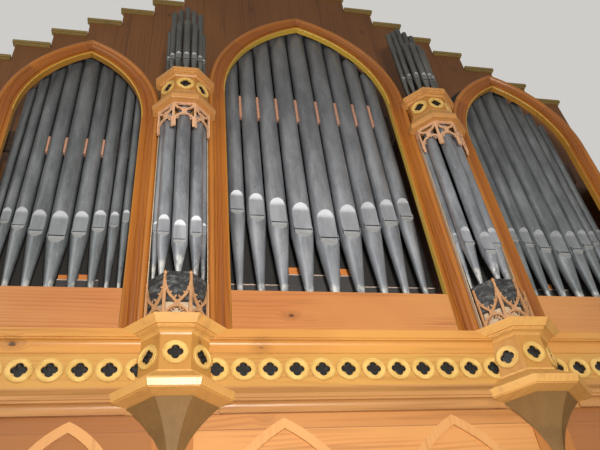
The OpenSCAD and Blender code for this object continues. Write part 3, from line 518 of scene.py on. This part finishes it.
# %% The metal recipe
def pipe_metal(name, light, dark, dirt):
    finish = Finish(name)
    cloud, streak = finish.grain(11, 2.6, 5.0, 0.65), finish.grain(70, 1.6, 3.0, 0.65)
    blotch, scratch = finish.grain(34, 13, 4.0, 0.7), finish.grain(260, 22, 2.0, 0.7)
    bevel, cup, flat = lip_highlight_masks(finish)
    over_sill = finish.z - SILL_Z
    toe = 1 - (over_sill + cloud * 0.03).step(*TOE_HIGHLIGHT_TOP)
    colour = finish.blend(cloud.step(0.25, 0.8), rgb(*dark), rgb(*light))
    for mask, tone in (
            (streak.step(0.56, 0.80) * dirt, (186, 188, 188)),
            (scratch.step(0.66, 0.76) * dirt, (226, 228, 228)),
            (blotch.step(0.62, 0.78) * dirt, (204, 204, 200)),
            ((1 - blotch.step(0.22, 0.40)) * 0.45, (58, 60, 62)),
            # Painted highlights on the flat of the upper lip and in the cup of the lower lip.
            (flat * 0.4, (148, 149, 153)),
            (cup * 0.7, (214, 214, 210)),
            # Painted highlight on the toes, patchy.
            (toe * blotch.step(0.40, 0.60) * 0.8, (232, 230, 222)),
            (over_sill.step(0.3, 2.6) * 0.6, (80, 78, 74)),
            # Painted highlight on the bevel of the upper lip.
            (bevel * 0.5, (184, 185, 188))):
        colour = finish.blend(mask, colour, rgb(*tone))
    return finish.set(Base_Color=colour, Metallic=0.62 - (flat + bevel) * 0.3,
                      Roughness=0.36 + cloud * 0.16 + bevel * 0.14,
                      Normal=finish.relief(streak + cloud * 0.7 + scratch * 0.2, 0.0006, 0.35))

PIPE_METAL = pipe_metal("pipe_metal", (182, 184, 188), (128, 131, 136), 0.5)
TOWER_METAL = pipe_metal("tower_metal", (190, 193, 197), (124, 127, 132), 0.9)
# Painted shade: the side bays' pipes get a darker copy of the metal.
SHADED_SIDE_METAL = pipe_metal("shaded_side_metal", (160, 164, 166), (108, 113, 115), 0.65)
CROWN_METAL = pipe_metal("crown_metal", (160, 160, 152), (104, 104, 98), 0.8)
# Paler metal for the toe collars and the lower lips: partly their own brighter metal, partly painted
# highlight where they glint.
COLLAR_METAL = pipe_metal("collar_metal", (186, 187, 186), (150, 152, 152), 0.5)
print("metals:", [m.name for m in bpy.data.materials if m.name.endswith("metal")])

# %% [markdown]
# ## Plain woods
# Inside and behind, the wood is stained or only dusty; the boards inside the towers and behind the
# pipes are painted near black, as painted shade. It is seen small or in the dark, so the full pine
# recipe would be wasted on it: one noise for the grain, one for the fibre and one for the dirt are
# enough, and each wood gets its own tones.

# %% Stained and dusty wood
def plain_wood(name, light, dark, rough=0.6, lengthwise="z", dusty=0.0):
    finish = Finish(name)
    axes = (finish.x, finish.y, finish.z) if lengthwise == "z" else (finish.z, finish.y, finish.x)
    grain, fibre = finish.grain(30, 2, 3.0, 0.6, axes), finish.grain(270, 9, 2.0, 0.6, axes)
    stain = finish.grain(5, 5, 4.0, 0.6)
    colour = finish.blend(grain * 0.6 + fibre * 0.4, rgb(*light), rgb(*dark))
    colour = finish.blend(stain.step(0.5, 0.75) * 0.4, colour, darker(dark, 0.7))
    if dusty:
        film = finish.grain(26, 40, 5.0, 0.75)
        colour = finish.blend(film.step(0.46, 0.68) * dusty, colour, rgb(132, 134, 132))
    return finish.set(Base_Color=colour, Roughness=rough + grain * 0.1,
                      Normal=finish.relief(grain * 0.5 + fibre, 0.0005))

DARK_WOOD = plain_wood("dark_wood", (70, 67, 65), (46, 44, 43), 0.65, lengthwise="x")
BLOCK_BLACK = plain_wood("block_black", (54, 53, 52), (30, 29, 29), 0.35, dusty=0.55)
# Painted shade: the panels inside the towers and behind the pipes are painted near black for the dark
# there.
INNER_SHADE_WOOD = plain_wood("inner_shade_wood", (44, 41, 38), (26, 24, 22), 0.8)
OLIVE_CAP = plain_wood("olive_cap", (156, 132, 76), (116, 94, 50), 0.5, lengthwise="x")
TAN_CORBEL = plain_wood("tan_corbel", (138, 102, 52), (104, 74, 36), 0.66)
RAIL_WOOD = plain_wood("rail_wood", (74, 56, 44), (52, 38, 30), lengthwise="x")
SHADE_WOOD = plain_wood("shade_wood", (226, 182, 142), (176, 124, 88), 0.5)
GALLERY_WOOD = plain_wood("gallery_wood", (200, 154, 108), (150, 100, 62), 0.5)
CHEEK_WOOD = plain_wood("cheek_wood", (206, 186, 158), (168, 142, 112))
REVEAL_WOOD = plain_wood("reveal_wood", (104, 66, 44), (66, 40, 28))
WEDGE_WOOD = plain_wood("wedge_wood", (194, 146, 118), (156, 108, 82))
FRESH_WOOD = plain_wood("fresh_wood", (214, 134, 66), (180, 102, 46), 0.55, lengthwise="x")
FILLET_WOOD = plain_wood("fillet_wood", (206, 186, 170), (164, 140, 124), lengthwise="x")
print("finishes so far:", len(bpy.data.materials))

# %% [markdown]
# ## Dress the frame
# Each node keeps its shape and gets one of the finishes, by the place it has in the organ. A list by
# node name is longer than a guess from the name's words, but it can be read and mended line by line.

# %% Hand out the finishes
FINISH_OF = {
    "plinth": PINE_STILE, "lower_panels": PINE_PANEL, "lower_stiles": PINE_STILE,
    "bottom_rail": PINE_FACE, "blind_arches_centre": PINE_ARCH, "blind_arches_side": PINE_ARCH,
    "base_returns": PINE_CASE, "base_sides": PINE_CASE, "base_back": PINE_CASE, "deck": PINE_CASE,
    "lower_moulding": PINE_MOULD, "frieze_board": PINE_FRIEZE, "frieze_roundels": RING_FRIEZE,
    "upper_moulding": PINE_FACE, "sill_boards": PINE_SILL, "toe_boards": DARK_WOOD,
    "rack_boards": DARK_WOOD, "case_partitions": REVEAL_WOOD, "upper_sides": PINE_STILE,
    "pipe_rails": RAIL_WOOD, "centre_pipes": PIPE_METAL, "left_pipes": SHADED_SIDE_METAL,
    "right_pipes": SHADED_SIDE_METAL, "tower_corbels": TAN_CORBEL, "tower_bases": PINE_BASE,
    "tower_roundels": RING_TOWER, "tower_shafts": CHEEK_WOOD, "toe_blocks": BLOCK_BLACK,
    "tower_galleries": GALLERY_WOOD, "tower_pipes": TOWER_METAL, "tower_cheeks": CHEEK_WOOD,
    "tower_backs": INNER_SHADE_WOOD, "pipe_shades": SHADE_WOOD, "tower_crowns": PINE_CROWN,
    "crown_pipes": CROWN_METAL, "screen_boards": BACK_BOARD, "screen_caps": OLIVE_CAP,
    "screen_battens": BACK_BOARD, "dark_panels": INNER_SHADE_WOOD,
}
for bay, finish in FRAMES.items():
    FINISH_OF[bay + "_arch_posts"] = FINISH_OF[bay + "_arch_head"] = finish

def dress(node, material):
    mesh = NODES[node].data
    mesh.materials.clear()
    mesh.materials.append(material)

for node in NODES:
    dress(node, FINISH_OF.get(node, PINE_FACE))
print("dressed", len(NODES), "nodes; without a finish of their own:", sorted(set(NODES) - set(FINISH_OF)))

# %% [markdown]
# ## Small pieces that repeat
# Leaves, wedges, blocks and toe collars are one shape each, set down many times. Geometry Nodes do
# that: a mesh of loose points says where, two attributes on the points say how each copy is turned and
# stretched, and the tree puts a copy of one piece on every point. It ends in Realize Instances, because
# the export only keeps real faces, and Set Material. We first write the parts that every tree shares.

# %% Parts that every tree shares
def put_setting(modifier, label, value):
    """Set a modifier's input by the identifier of its socket."""
    for item in modifier.node_group.interface.items_tree:
        if item.item_type == "SOCKET" and item.in_out == "INPUT" and item.name == label:
            modifier[item.identifier] = value

def new_tree(name, inputs):
    tree = bpy.data.node_groups.new(name, "GeometryNodeTree")
    for label, kind in [("Places", "Geometry")] + inputs + [("Finish", "Material")]:
        tree.interface.new_socket(label, in_out="INPUT", socket_type="NodeSocket" + kind)
    tree.interface.new_socket("Result", in_out="OUTPUT", socket_type="NodeSocketGeometry")
    return tree, tree.nodes.new("NodeGroupInput"), tree.nodes.new("NodeGroupOutput")

def wire(tree, *pairs):
    for source, target in pairs:
        tree.links.new(source, target)

def close_tree(tree, given, result, mesh):
    real = tree.nodes.new("GeometryNodeRealizeInstances")
    painted = tree.nodes.new("GeometryNodeSetMaterial")
    wire(tree, (mesh, real.inputs["Geometry"]), (real.outputs["Geometry"], painted.inputs["Geometry"]),
         (given.outputs["Finish"], painted.inputs["Material"]),
         (painted.outputs["Geometry"], result.inputs["Result"]))

print("every tree takes Places and Finish, and gives Result")

# %% [markdown]
# Hand-cut pieces never stand quite true. A random turn, up to the input Wobble either way, is added
# to the turn of each point, and a fixed seed gives the same small errors on every run.

# %% The tree that repeats a piece on points
def point_attribute(tree, name):
    node = tree.nodes.new("GeometryNodeInputNamedAttribute")
    node.data_type = "FLOAT_VECTOR"
    node.inputs["Name"].default_value = name
    return node.outputs["Attribute"]

def vector_sum(tree, operation, first, second):
    node = tree.nodes.new("ShaderNodeVectorMath")
    node.operation = operation
    wire(tree, (first, node.inputs[0]), (second, node.inputs["Scale" if operation == "SCALE" else 1]))
    return node.outputs[0]

def random_turn(tree, given):
    wobble, minus = tree.nodes.new("FunctionNodeRandomValue"), tree.nodes.new("ShaderNodeMath")
    wobble.data_type, minus.operation = "FLOAT_VECTOR", "MULTIPLY"
    minus.inputs[1].default_value = -1.0
    wire(tree, (given.outputs["Wobble"], minus.inputs[0]), (minus.outputs[0], wobble.inputs["Min"]),
         (given.outputs["Wobble"], wobble.inputs["Max"]), (given.outputs["Seed"], wobble.inputs["Seed"]))
    return wobble.outputs["Value"]

def repeat_tree():
    tree, given, result = new_tree("repeat_on_points", [
        ("Piece", "Object"), ("Size", "Float"), ("Wobble", "Float"), ("Seed", "Int")])
    turn = vector_sum(tree, "ADD", point_attribute(tree, "turn"), random_turn(tree, given))
    grow = vector_sum(tree, "SCALE", point_attribute(tree, "grow"), given.outputs["Size"])
    piece = tree.nodes.new("GeometryNodeObjectInfo")
    copies = tree.nodes.new("GeometryNodeInstanceOnPoints")
    wire(tree, (given.outputs["Piece"], piece.inputs["Object"]),
         (given.outputs["Places"], copies.inputs["Points"]),
         (piece.outputs["Geometry"], copies.inputs["Instance"]),
         (turn, copies.inputs["Rotation"]), (grow, copies.inputs["Scale"]))
    close_tree(tree, given, result, copies.outputs["Instances"])
    return tree

REPEAT = repeat_tree()
print("tree:", REPEAT.name, "with", [item.name for item in REPEAT.interface.items_tree])

# %% [markdown]
# The tree's result is turned into a plain mesh at once, so that the finished piece is an ordinary
# object at the origin. The points are Python's: place, turn in radians, and stretch of each copy.

# %% Points in, plain mesh out
def stage_object(name, mesh):
    holder = bpy.data.objects.new(name, mesh)
    bpy.context.scene.collection.objects.link(holder)
    return holder

def plain_result(name, source, tree, settings):
    modifier = source.modifiers.new("grow", "NODES")
    modifier.node_group = tree
    for label, value in settings.items():
        put_setting(modifier, label, value)
    bpy.context.view_layer.update()
    graph = bpy.context.evaluated_depsgraph_get()
    mesh = bpy.data.meshes.new_from_object(source.evaluated_get(graph), depsgraph=graph)
    source.modifiers.clear()
    bpy.data.objects.remove(source)
    mesh.name = name
    done = stage_object(name, mesh)
    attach(done, "root")
    print("%s: %d faces" % (name, len(mesh.polygons)))

def repeat(name, piece_mesh, places, finish, wobble=0.0, seed=3):
    """places holds (point, turn, stretch) of every copy."""
    mesh = bpy.data.meshes.new(name + "_points")
    mesh.from_pydata([point for point, turn, grow in places], [], [])
    for label, index in (("turn", 1), ("grow", 2)):
        layer = mesh.attributes.new(label, "FLOAT_VECTOR", "POINT")
        layer.data.foreach_set("vector", [value for row in places for value in row[index]])
    piece = stage_object(name + "_piece", piece_mesh)
    plain_result(name, stage_object(name + "_source", mesh), REPEAT, {
        "Piece": piece, "Size": 1.0, "Wobble": wobble, "Seed": seed, "Finish": finish})
    bpy.data.objects.remove(piece)

UNTURNED = (0, 0, 0)
print("repeat() sets one piece on many points")

# %% [markdown]
# ## Carved leaves on the galleries and shades
# Each tower has a pierced gallery round its foot and a pierced shade under its crown. The CAD gives
# the tracery; the small curled leaves that the carver left along its edges come here. A leaf could be
# sculpted, but it is a few pixels wide, so one pointed spoon does for all: a short strip of rings that
# swells, narrows to a tip and curls forward.

# %% One leaf
LEAF_RINGS = ((0.0, 0.30), (0.18, 0.62), (0.42, 1.0), (0.66, 0.78), (0.86, 0.42), (1.0, 0.10))
LEAF_SIDES, LEAF_CURL = 6, 0.005

def plain_mesh(name, shape):
    bmesh.ops.recalc_face_normals(shape, faces=shape.faces)
    mesh = bpy.data.meshes.new(name)
    shape.to_mesh(mesh)
    shape.free()
    return mesh

def leaf_mesh(length=0.017, width=0.011, thick=0.005):
    """LEAF_RINGS holds how far along the leaf each ring lies, and its share of the full width."""
    shape = bmesh.new()
    rings = []
    for share, wide in LEAF_RINGS:
        half_x, half_y = wide * width / 2, wide * thick / 2
        z, out = share * length, -LEAF_CURL * share * share
        rings.append([shape.verts.new((math.cos(a) * half_x, out + math.sin(a) * half_y, z))
                      for a in (i * math.tau / LEAF_SIDES for i in range(LEAF_SIDES))])
    for low, high in zip(rings, rings[1:]):
        for i in range(LEAF_SIDES):
            j = (i + 1) % LEAF_SIDES
            shape.faces.new((low[i], low[j], high[j], high[i]))
    shape.faces.new(rings[0][::-1])
    shape.faces.new(rings[-1])
    return plain_mesh("leaf", shape)

print("a leaf has %d rings of %d points" % (len(LEAF_RINGS), LEAF_SIDES))

# %% [markdown]
# The leaves grow on the arcs of the tracery. Each arc lies in the flat of one octagon face, so it is
# enough to describe one half of one face: the loops below mirror it, repeat it on three faces, and
# set it on both towers. A leaf points away from its arc's centre, or towards it.

# %% Set the leaves
GALLERY_FACE, GALLERY_FOOT = 0.156, span("tower_galleries", Z)[0]
SHADE_FACE, SHADE_FOOT = 0.164, span("pipe_shades", Z)[1] - 0.227

def on_face(side, face, radius, along, z):
    """A point on one of a tower's octagon faces, at a distance along the face from its middle."""
    turn = math.radians(45 * face)
    x = math.sin(turn) * radius + math.cos(turn) * along
    y = -math.cos(turn) * radius + math.sin(turn) * along
    return (side * TOWER_X + x, TOWER_Y + y, z)

def arc_places(centre, radius, start, stop, count, outward):
    """Points and leaf directions along an arc in a face's own plane; angles run from the right."""
    for i in range(count):
        angle = math.radians(start + (stop - start) * (i + 0.5) / count)
        along, up = centre[0] + radius * math.cos(angle), centre[1] + radius * math.sin(angle)
        yield along, up, math.pi / 2 - angle + (0.0 if outward else math.pi)

def tracery_leaves(radius, foot, arcs):
    return [(on_face(side, face, radius, mirror * along, foot + up),
             (0.0, mirror * lean, math.radians(45 * face)), (1, 1, 1))
            for side in (-1, 1) for face in (-1, 0, 1) for arc in arcs for mirror in (-1, 1)
            for along, up, lean in arc_places(*arc)]

gallery_arcs = [((0.0, 0.049), 0.044, 10, 80, 3, False), ((-0.0736, 0.258), 0.1436, 300, 345, 3, False)]
shade_arcs = [((0.0, 0.062), 0.049, -8, 82, 4, False), ((0.020, 0.190), 0.022, 200, 330, 2, True)]
repeat("gallery_leaves", leaf_mesh(), tracery_leaves(GALLERY_FACE, GALLERY_FOOT, gallery_arcs),
       GALLERY_WOOD, wobble=0.12, seed=5)
repeat("shade_leaves", leaf_mesh(0.016, 0.012, 0.007), tracery_leaves(SHADE_FACE, SHADE_FOOT, shade_arcs),
       SHADE_WOOD, wobble=0.15, seed=8)

# %% [markdown]
# ## The banks of pipes
# The small pieces below stand at the pipes, so their places come from the same row of widths that the
# pipes have: the widest stands in the middle, and narrower ones follow in pairs on both sides, with one
# gap between neighbours.

# %% Places of the pipes and of the gaps between them
CENTRE_WIDTH, CENTRE_GAP = 0.142, 0.0105
SIDE_WIDTH, SIDE_GAP = 0.114, 0.00774
CENTRE_PIPES = [CENTRE_WIDTH * share for share in (1, 0.955, 0.88, 0.805, 0.705)]
SIDE_PIPES = [SIDE_WIDTH * share for share in (1, 0.845, 0.735, 0.53, 0.43)]
AXIS_Y = span("centre_pipes", Y)[0] + CENTRE_WIDTH / 2

def bank_places(widths, gap, middle):
    """Centre, width and number of each pipe of a bank, and the middles of the gaps between pipes."""
    pipes, gaps, edge = [(middle, widths[0], 0)], [], widths[0] / 2
    for number, width in enumerate(widths[1:], 1):
        for sign in (-1, 1):
            gaps.append(middle + sign * (edge + gap / 2))
            pipes.append((middle + sign * (edge + gap + width / 2), width, number))
        edge += gap + width
    return pipes, gaps

BANKS = [bank_places(CENTRE_PIPES, CENTRE_GAP, 0.0), bank_places(SIDE_PIPES, SIDE_GAP, -BAY_X),
         bank_places(SIDE_PIPES, SIDE_GAP, BAY_X)]
print("pipes in the banks:", [len(pipes) for pipes, gaps in BANKS])

# %% [markdown]
# ## Wedges between the pipes
# The tall pipes lean back against a rail. Between two pipes the maker pushed a bare wooden wedge into
# the hollow, so they can't rattle, and each shows as a small pale stroke: eight in the middle bay, but
# only four in the left one and none in the right one. A wedge is wide in front and narrows towards the
# place where two pipes come closest, so it is a bevelled block with a narrower back.

# %% Wedges
WEDGE_TAPER, WEDGE_DEEP, WEDGE_OUT = 0.42, 0.034, 0.006
CENTRE_WEDGE = (SILL_Z + 1.570, span("pipe_rails", Z)[1], 0.0175, 8)
LEFT_WEDGE = (SILL_Z + 1.100, SILL_Z + 1.240, 0.0135, 4)

def bevelled_block(taper=1.0, bevel=0.06):
    """A unit block on the origin's plane, its front face at -Y, with its edges taken off."""
    shape = bmesh.new()
    bmesh.ops.create_cube(shape, size=1.0)
    for corner in shape.verts:
        corner.co.z += 0.5
        if corner.co.y > 0:
            corner.co.x *= taper
    bmesh.ops.bevel(shape, geom=shape.edges[:], offset=bevel, segments=2, profile=0.6, affect="EDGES")
    return plain_mesh("block", shape)

wedges = [((x, AXIS_Y - WEDGE_OUT, low), UNTURNED, (wide, WEDGE_DEEP, high - low))
          for (low, high, wide, count), (pipes, gaps) in zip((CENTRE_WEDGE, LEFT_WEDGE), BANKS)
          for x in gaps[:count]]
repeat("rail_wedges", bevelled_block(WEDGE_TAPER), wedges, WEDGE_WOOD)

# %% [markdown]
# ## Toe collars
# A pipe stands on the sill by a thin toe, and a soldered collar strengthens it. Its paler metal is partly
# the solder's own and partly painted highlight, for the glint at the toe. The collar is a turned shape,
# so a short profile goes round an axis, and that one ring is scaled to each pipe's toe.

# %% Collars under every front pipe
COLLAR_PROFILE = [(0.92, 0.02), (1.30, 0.02), (1.36, 0.18), (1.34, 0.9), (1.28, 1.15), (0.98, 1.2)]
TOE_SHARE, COLLAR_WALL, COLLAR_LIFT = 0.18, 0.002, 0.0004

def lathe(name, profile, sides=24):
    """A closed ring turned from (radius, height) points."""
    shape = bmesh.new()
    rows = [[shape.verts.new((r * math.cos(a), r * math.sin(a), z)) for r, z in profile]
            for a in (i * math.tau / sides for i in range(sides))]
    for here, there in zip(rows, rows[1:] + rows[:1]):
        for i in range(len(profile)):
            j = (i + 1) % len(profile)
            shape.faces.new((here[i], there[i], there[j], here[j]))
    mesh = plain_mesh(name, shape)
    mesh.shade_smooth()
    return mesh

collars = [((x, AXIS_Y, SILL_Z + COLLAR_LIFT), UNTURNED, (TOE_SHARE * width / 2 + COLLAR_WALL,) * 3)
           for pipes, gaps in BANKS for x, width, number in pipes]
repeat("toe_collars", lathe("collar", COLLAR_PROFILE), collars, COLLAR_METAL)

# %% [markdown]
# ## Lower lips
# The wind leaves a pipe through the flue, a slit of a few millimetres between the languid and the
# lower lip. The CAD leaves the whole mouth open, so here the lower lip's flat plate closes its lower
# part and catches the light under a thin dark line. Every plate is the same one, scaled by its pipe.
# The mouths climb from the middle of a bank outwards, evenly in the side bays and in an easing curve
# in the middle one. A tower has five pipes: one in front, and two pairs beside and behind it.

# %% A plate in every mouth
MOUTH_WIDE = 0.79
MOUTH_DEEP = math.sqrt(0.25 - (MOUTH_WIDE / 2) ** 2)
LIP_PLAY, LIP_THICK, LIP_TALL, LIP_SUNK, LIP_LIFT = 0.02, 0.0022, 0.125, 0.0006, 0.0004
TOWER_PIPE, TOWER_MOUTH, TOWER_RING, CHEEK_IN = 0.084, 0.212, BLOCK_HALF - 0.036, 0.1492

def centre_mouth(number):
    return SILL_Z + (0.437 + 0.063 * number ** 0.9)

def side_mouth(number):
    return SILL_Z + (0.394 + 0.040 * number)

def tower_mouths():
    """Place and width for each mouth; a row holds along, back, share of the width, rise in widths."""
    rows = ((0, -TOWER_RING, 1, 0), (0.8 * TOWER_RING, (0.8 - math.sqrt(2)) * TOWER_RING, 0.9, 1.06),
            (CHEEK_IN - 0.27 * TOWER_PIPE, -0.2 * TOWER_RING, 0.52, 1.68))
    for side in (-1, 1):
        for along, back, share, rise in rows:
            for mirror in ((-1, 1) if along else (1,)):
                yield (side * TOWER_X + mirror * along, TOWER_Y + back,
                       SILL_Z + TOWER_MOUTH + TOWER_PIPE * rise, TOWER_PIPE * share)

mouths = [(x, AXIS_Y, height(number), width)
          for height, (pipes, gaps) in zip((centre_mouth, side_mouth, side_mouth), BANKS)
          for x, width, number in pipes] + list(tower_mouths())
lips = [((x, y - width * MOUTH_DEEP + LIP_SUNK, z + LIP_LIFT), UNTURNED,
         (width * (MOUTH_WIDE - LIP_PLAY), LIP_THICK, width * LIP_TALL)) for x, y, z, width in mouths]
repeat("lower_lips", bevelled_block(bevel=0.04), lips, COLLAR_METAL)

# %% [markdown]
# ## Steps and blocks behind the feet
# Behind the feet runs a dark rack board. Here and there it steps up, and short blocks of fresh wood
# stand on the steps. All of them are the bevelled block again, stretched to size.

# %% Steps and blocks on the rack boards
RACK_Y, RACK_MIDDLE = span("rack_boards", Y)[0], middle_of("rack_boards", Y)
RACK_STEP = span("rack_boards", Z)[1]
CENTRE_RACK, SIDE_RACK, SIDE_RISE = SILL_Z + 0.205, SILL_Z + 0.164, 0.048
STEP_DEEP, BLOCK_DEEP = 0.018, 0.024
SIDE_STEP = SIDE_RACK + SIDE_RISE
LEFT_STEP_X, RIGHT_STEP_X, STEP_WIDE = -1.410, 1.450, 0.220

def on_rack(x, foot, wide, deep, tall):
    return (x, RACK_MIDDLE, foot), UNTURNED, (wide, deep, tall)

steps = [on_rack(-0.2125, CENTRE_RACK, 0.055, STEP_DEEP, RACK_STEP - CENTRE_RACK),
         on_rack(LEFT_STEP_X, SIDE_RACK, STEP_WIDE, STEP_DEEP, SIDE_RISE),
         on_rack(RIGHT_STEP_X, SIDE_RACK, STEP_WIDE, STEP_DEEP, SIDE_RISE)]
blocks = [on_rack(x, foot, wide, BLOCK_DEEP, tall) for x, foot, wide, tall in (
    (-0.194, RACK_STEP, 0.078, 0.052), (0.118, RACK_STEP, 0.078, 0.052), (-1.483, SIDE_STEP, 0.060, 0.030),
    (-1.383, SIDE_STEP, 0.052, 0.036), (1.420, SIDE_STEP, 0.060, 0.040))]
repeat("rack_steps", bevelled_block(), steps, DARK_WOOD)
repeat("rack_blocks", bevelled_block(), blocks, FRESH_WOOD, wobble=0.02)

# %% [markdown]
# ## Fillets on the rack's edge
# The bare upper edge of the rack boards shows as a pale line, a thin fillet that follows the board and
# its steps. What follows a path is swept: a second tree turns edges into curves and runs a small square
# section along them.

# %% The tree that sweeps a fillet along a path
FILLET, FILLET_OUT, FILLET_INSET = 0.006, 0.0025, 0.002

def sweep_tree():
    tree, given, result = new_tree("fillet_along_path", [("Width", "Float"), ("Height", "Float")])
    section = tree.nodes.new("GeometryNodeCurvePrimitiveQuadrilateral")
    sweep, path = tree.nodes.new("GeometryNodeCurveToMesh"), tree.nodes.new("GeometryNodeMeshToCurve")
    sweep.inputs["Fill Caps"].default_value = True
    wire(tree, (given.outputs["Width"], section.inputs["Width"]),
         (given.outputs["Height"], section.inputs["Height"]),
         (given.outputs["Places"], path.inputs["Mesh"]), (path.outputs["Curve"], sweep.inputs["Curve"]),
         (section.outputs["Curve"], sweep.inputs["Profile Curve"]))
    close_tree(tree, given, result, sweep.outputs["Mesh"])
    return tree

def fillets(name, lines, finish):
    """lines holds the two ends and the height of each fillet."""
    points = [(x, RACK_Y - FILLET_OUT, z - FILLET / 2) for low, high, z in lines for x in (low, high)]
    mesh = bpy.data.meshes.new(name + "_lines")
    mesh.from_pydata(points, [(2 * i, 2 * i + 1) for i in range(len(lines))], [])
    plain_result(name, stage_object(name + "_source", mesh), sweep_tree(),
                 {"Width": FILLET, "Height": FILLET, "Finish": finish})

edges = [(-0.655, -0.242, CENTRE_RACK), (-0.238, 0.183, RACK_STEP), (0.187, 0.655, CENTRE_RACK)]
edges += [(x - STEP_WIDE / 2 + FILLET_INSET, x + STEP_WIDE / 2 - FILLET_INSET, SIDE_STEP)
          for x in (LEFT_STEP_X, RIGHT_STEP_X)]
fillets("rack_fillets", edges, FILLET_WOOD)

# %% [markdown]
# ## Studio
# A pale floor and a plain grey world. The world is pale only where the camera sees it and gives just a
# little light, so that the lamps keep their shadows.

# %% Floor and world
WORLD_GREY, FLOOR_GREY, WORLD_FILL = (206, 204, 200), (214, 214, 212), 0.24

def make_floor(half=14.0, drop=0.002):
    mesh = bpy.data.meshes.new("floor")
    corners = [(-half, -half, 0), (half, -half, 0), (half, half, 0), (-half, half, 0)]
    mesh.from_pydata(corners, [], [(0, 1, 2, 3)])
    floor = stage_object("floor", mesh)
    mesh.materials.append(Finish("floor_grey").set(Base_Color=rgb(*FLOOR_GREY), Roughness=0.8))
    floor.location.z = -drop

def make_world(back, fill):
    world = bpy.data.worlds.new("world")
    bpy.context.scene.world = world
    world.use_nodes = True
    nodes, links = world.node_tree.nodes, world.node_tree.links
    soft, shown = nodes["Background"], nodes.new("ShaderNodeBackground")
    soft.inputs[0].default_value, soft.inputs[1].default_value = (1, 0.98, 0.95, 1), fill
    shown.inputs[0].default_value, shown.inputs[1].default_value = back, 1.0
    path, mix = nodes.new("ShaderNodeLightPath"), nodes.new("ShaderNodeMixShader")
    links.new(path.outputs["Is Camera Ray"], mix.inputs[0])
    links.new(soft.outputs[0], mix.inputs[1])
    links.new(shown.outputs[0], mix.inputs[2])
    links.new(mix.outputs[0], nodes["World Output"].inputs[0])

make_floor()
make_world(rgb(*WORLD_GREY), WORLD_FILL)
print("world fill %.2f" % WORLD_FILL)

# %% [markdown]
# The photograph was lit from beside the lens, so the nearest and smallest lamp stands by the camera,
# low. That is what makes the lips shine, together with their painted highlights. Three wide lamps
# soften its shadows from the left, the right and behind.

# %% Lamps
def make_lamp(name, place, aim, size, watts, tint=(1.0, 1.0, 1.0), spread=180):
    light = bpy.data.lights.new(name, "AREA")
    light.shape, light.size, light.energy, light.color = "DISK", size, watts, tint
    light.spread = math.radians(spread)
    lamp = stage_object(name, light)
    lamp.location = place
    lamp.rotation_euler = (Vector(aim) - Vector(place)).to_track_quat("-Z", "Y").to_euler()

BESIDE_EYE = EYE + Vector((0.3, -1.6, 0.2))
make_lamp("flash", BESIDE_EYE, (-0.3, FACE_Y, SILL_Z + 0.6), 0.7, 108, (1.0, 0.97, 0.93), 110)
make_lamp("left_soft", (-6.0, FACE_Y - 6.0, 6.5), (0, FACE_Y, SILL_Z), 5.0, 130)
make_lamp("right_soft", (6.5, FACE_Y - 5.0, 5.0), (0, FACE_Y, SILL_Z), 5.0, 30)
make_lamp("back_soft", (0.0, 7.5, 7.0), (0, 0, 3.5), 5.0, 300)
bpy.context.scene.view_settings.view_transform = "Standard"
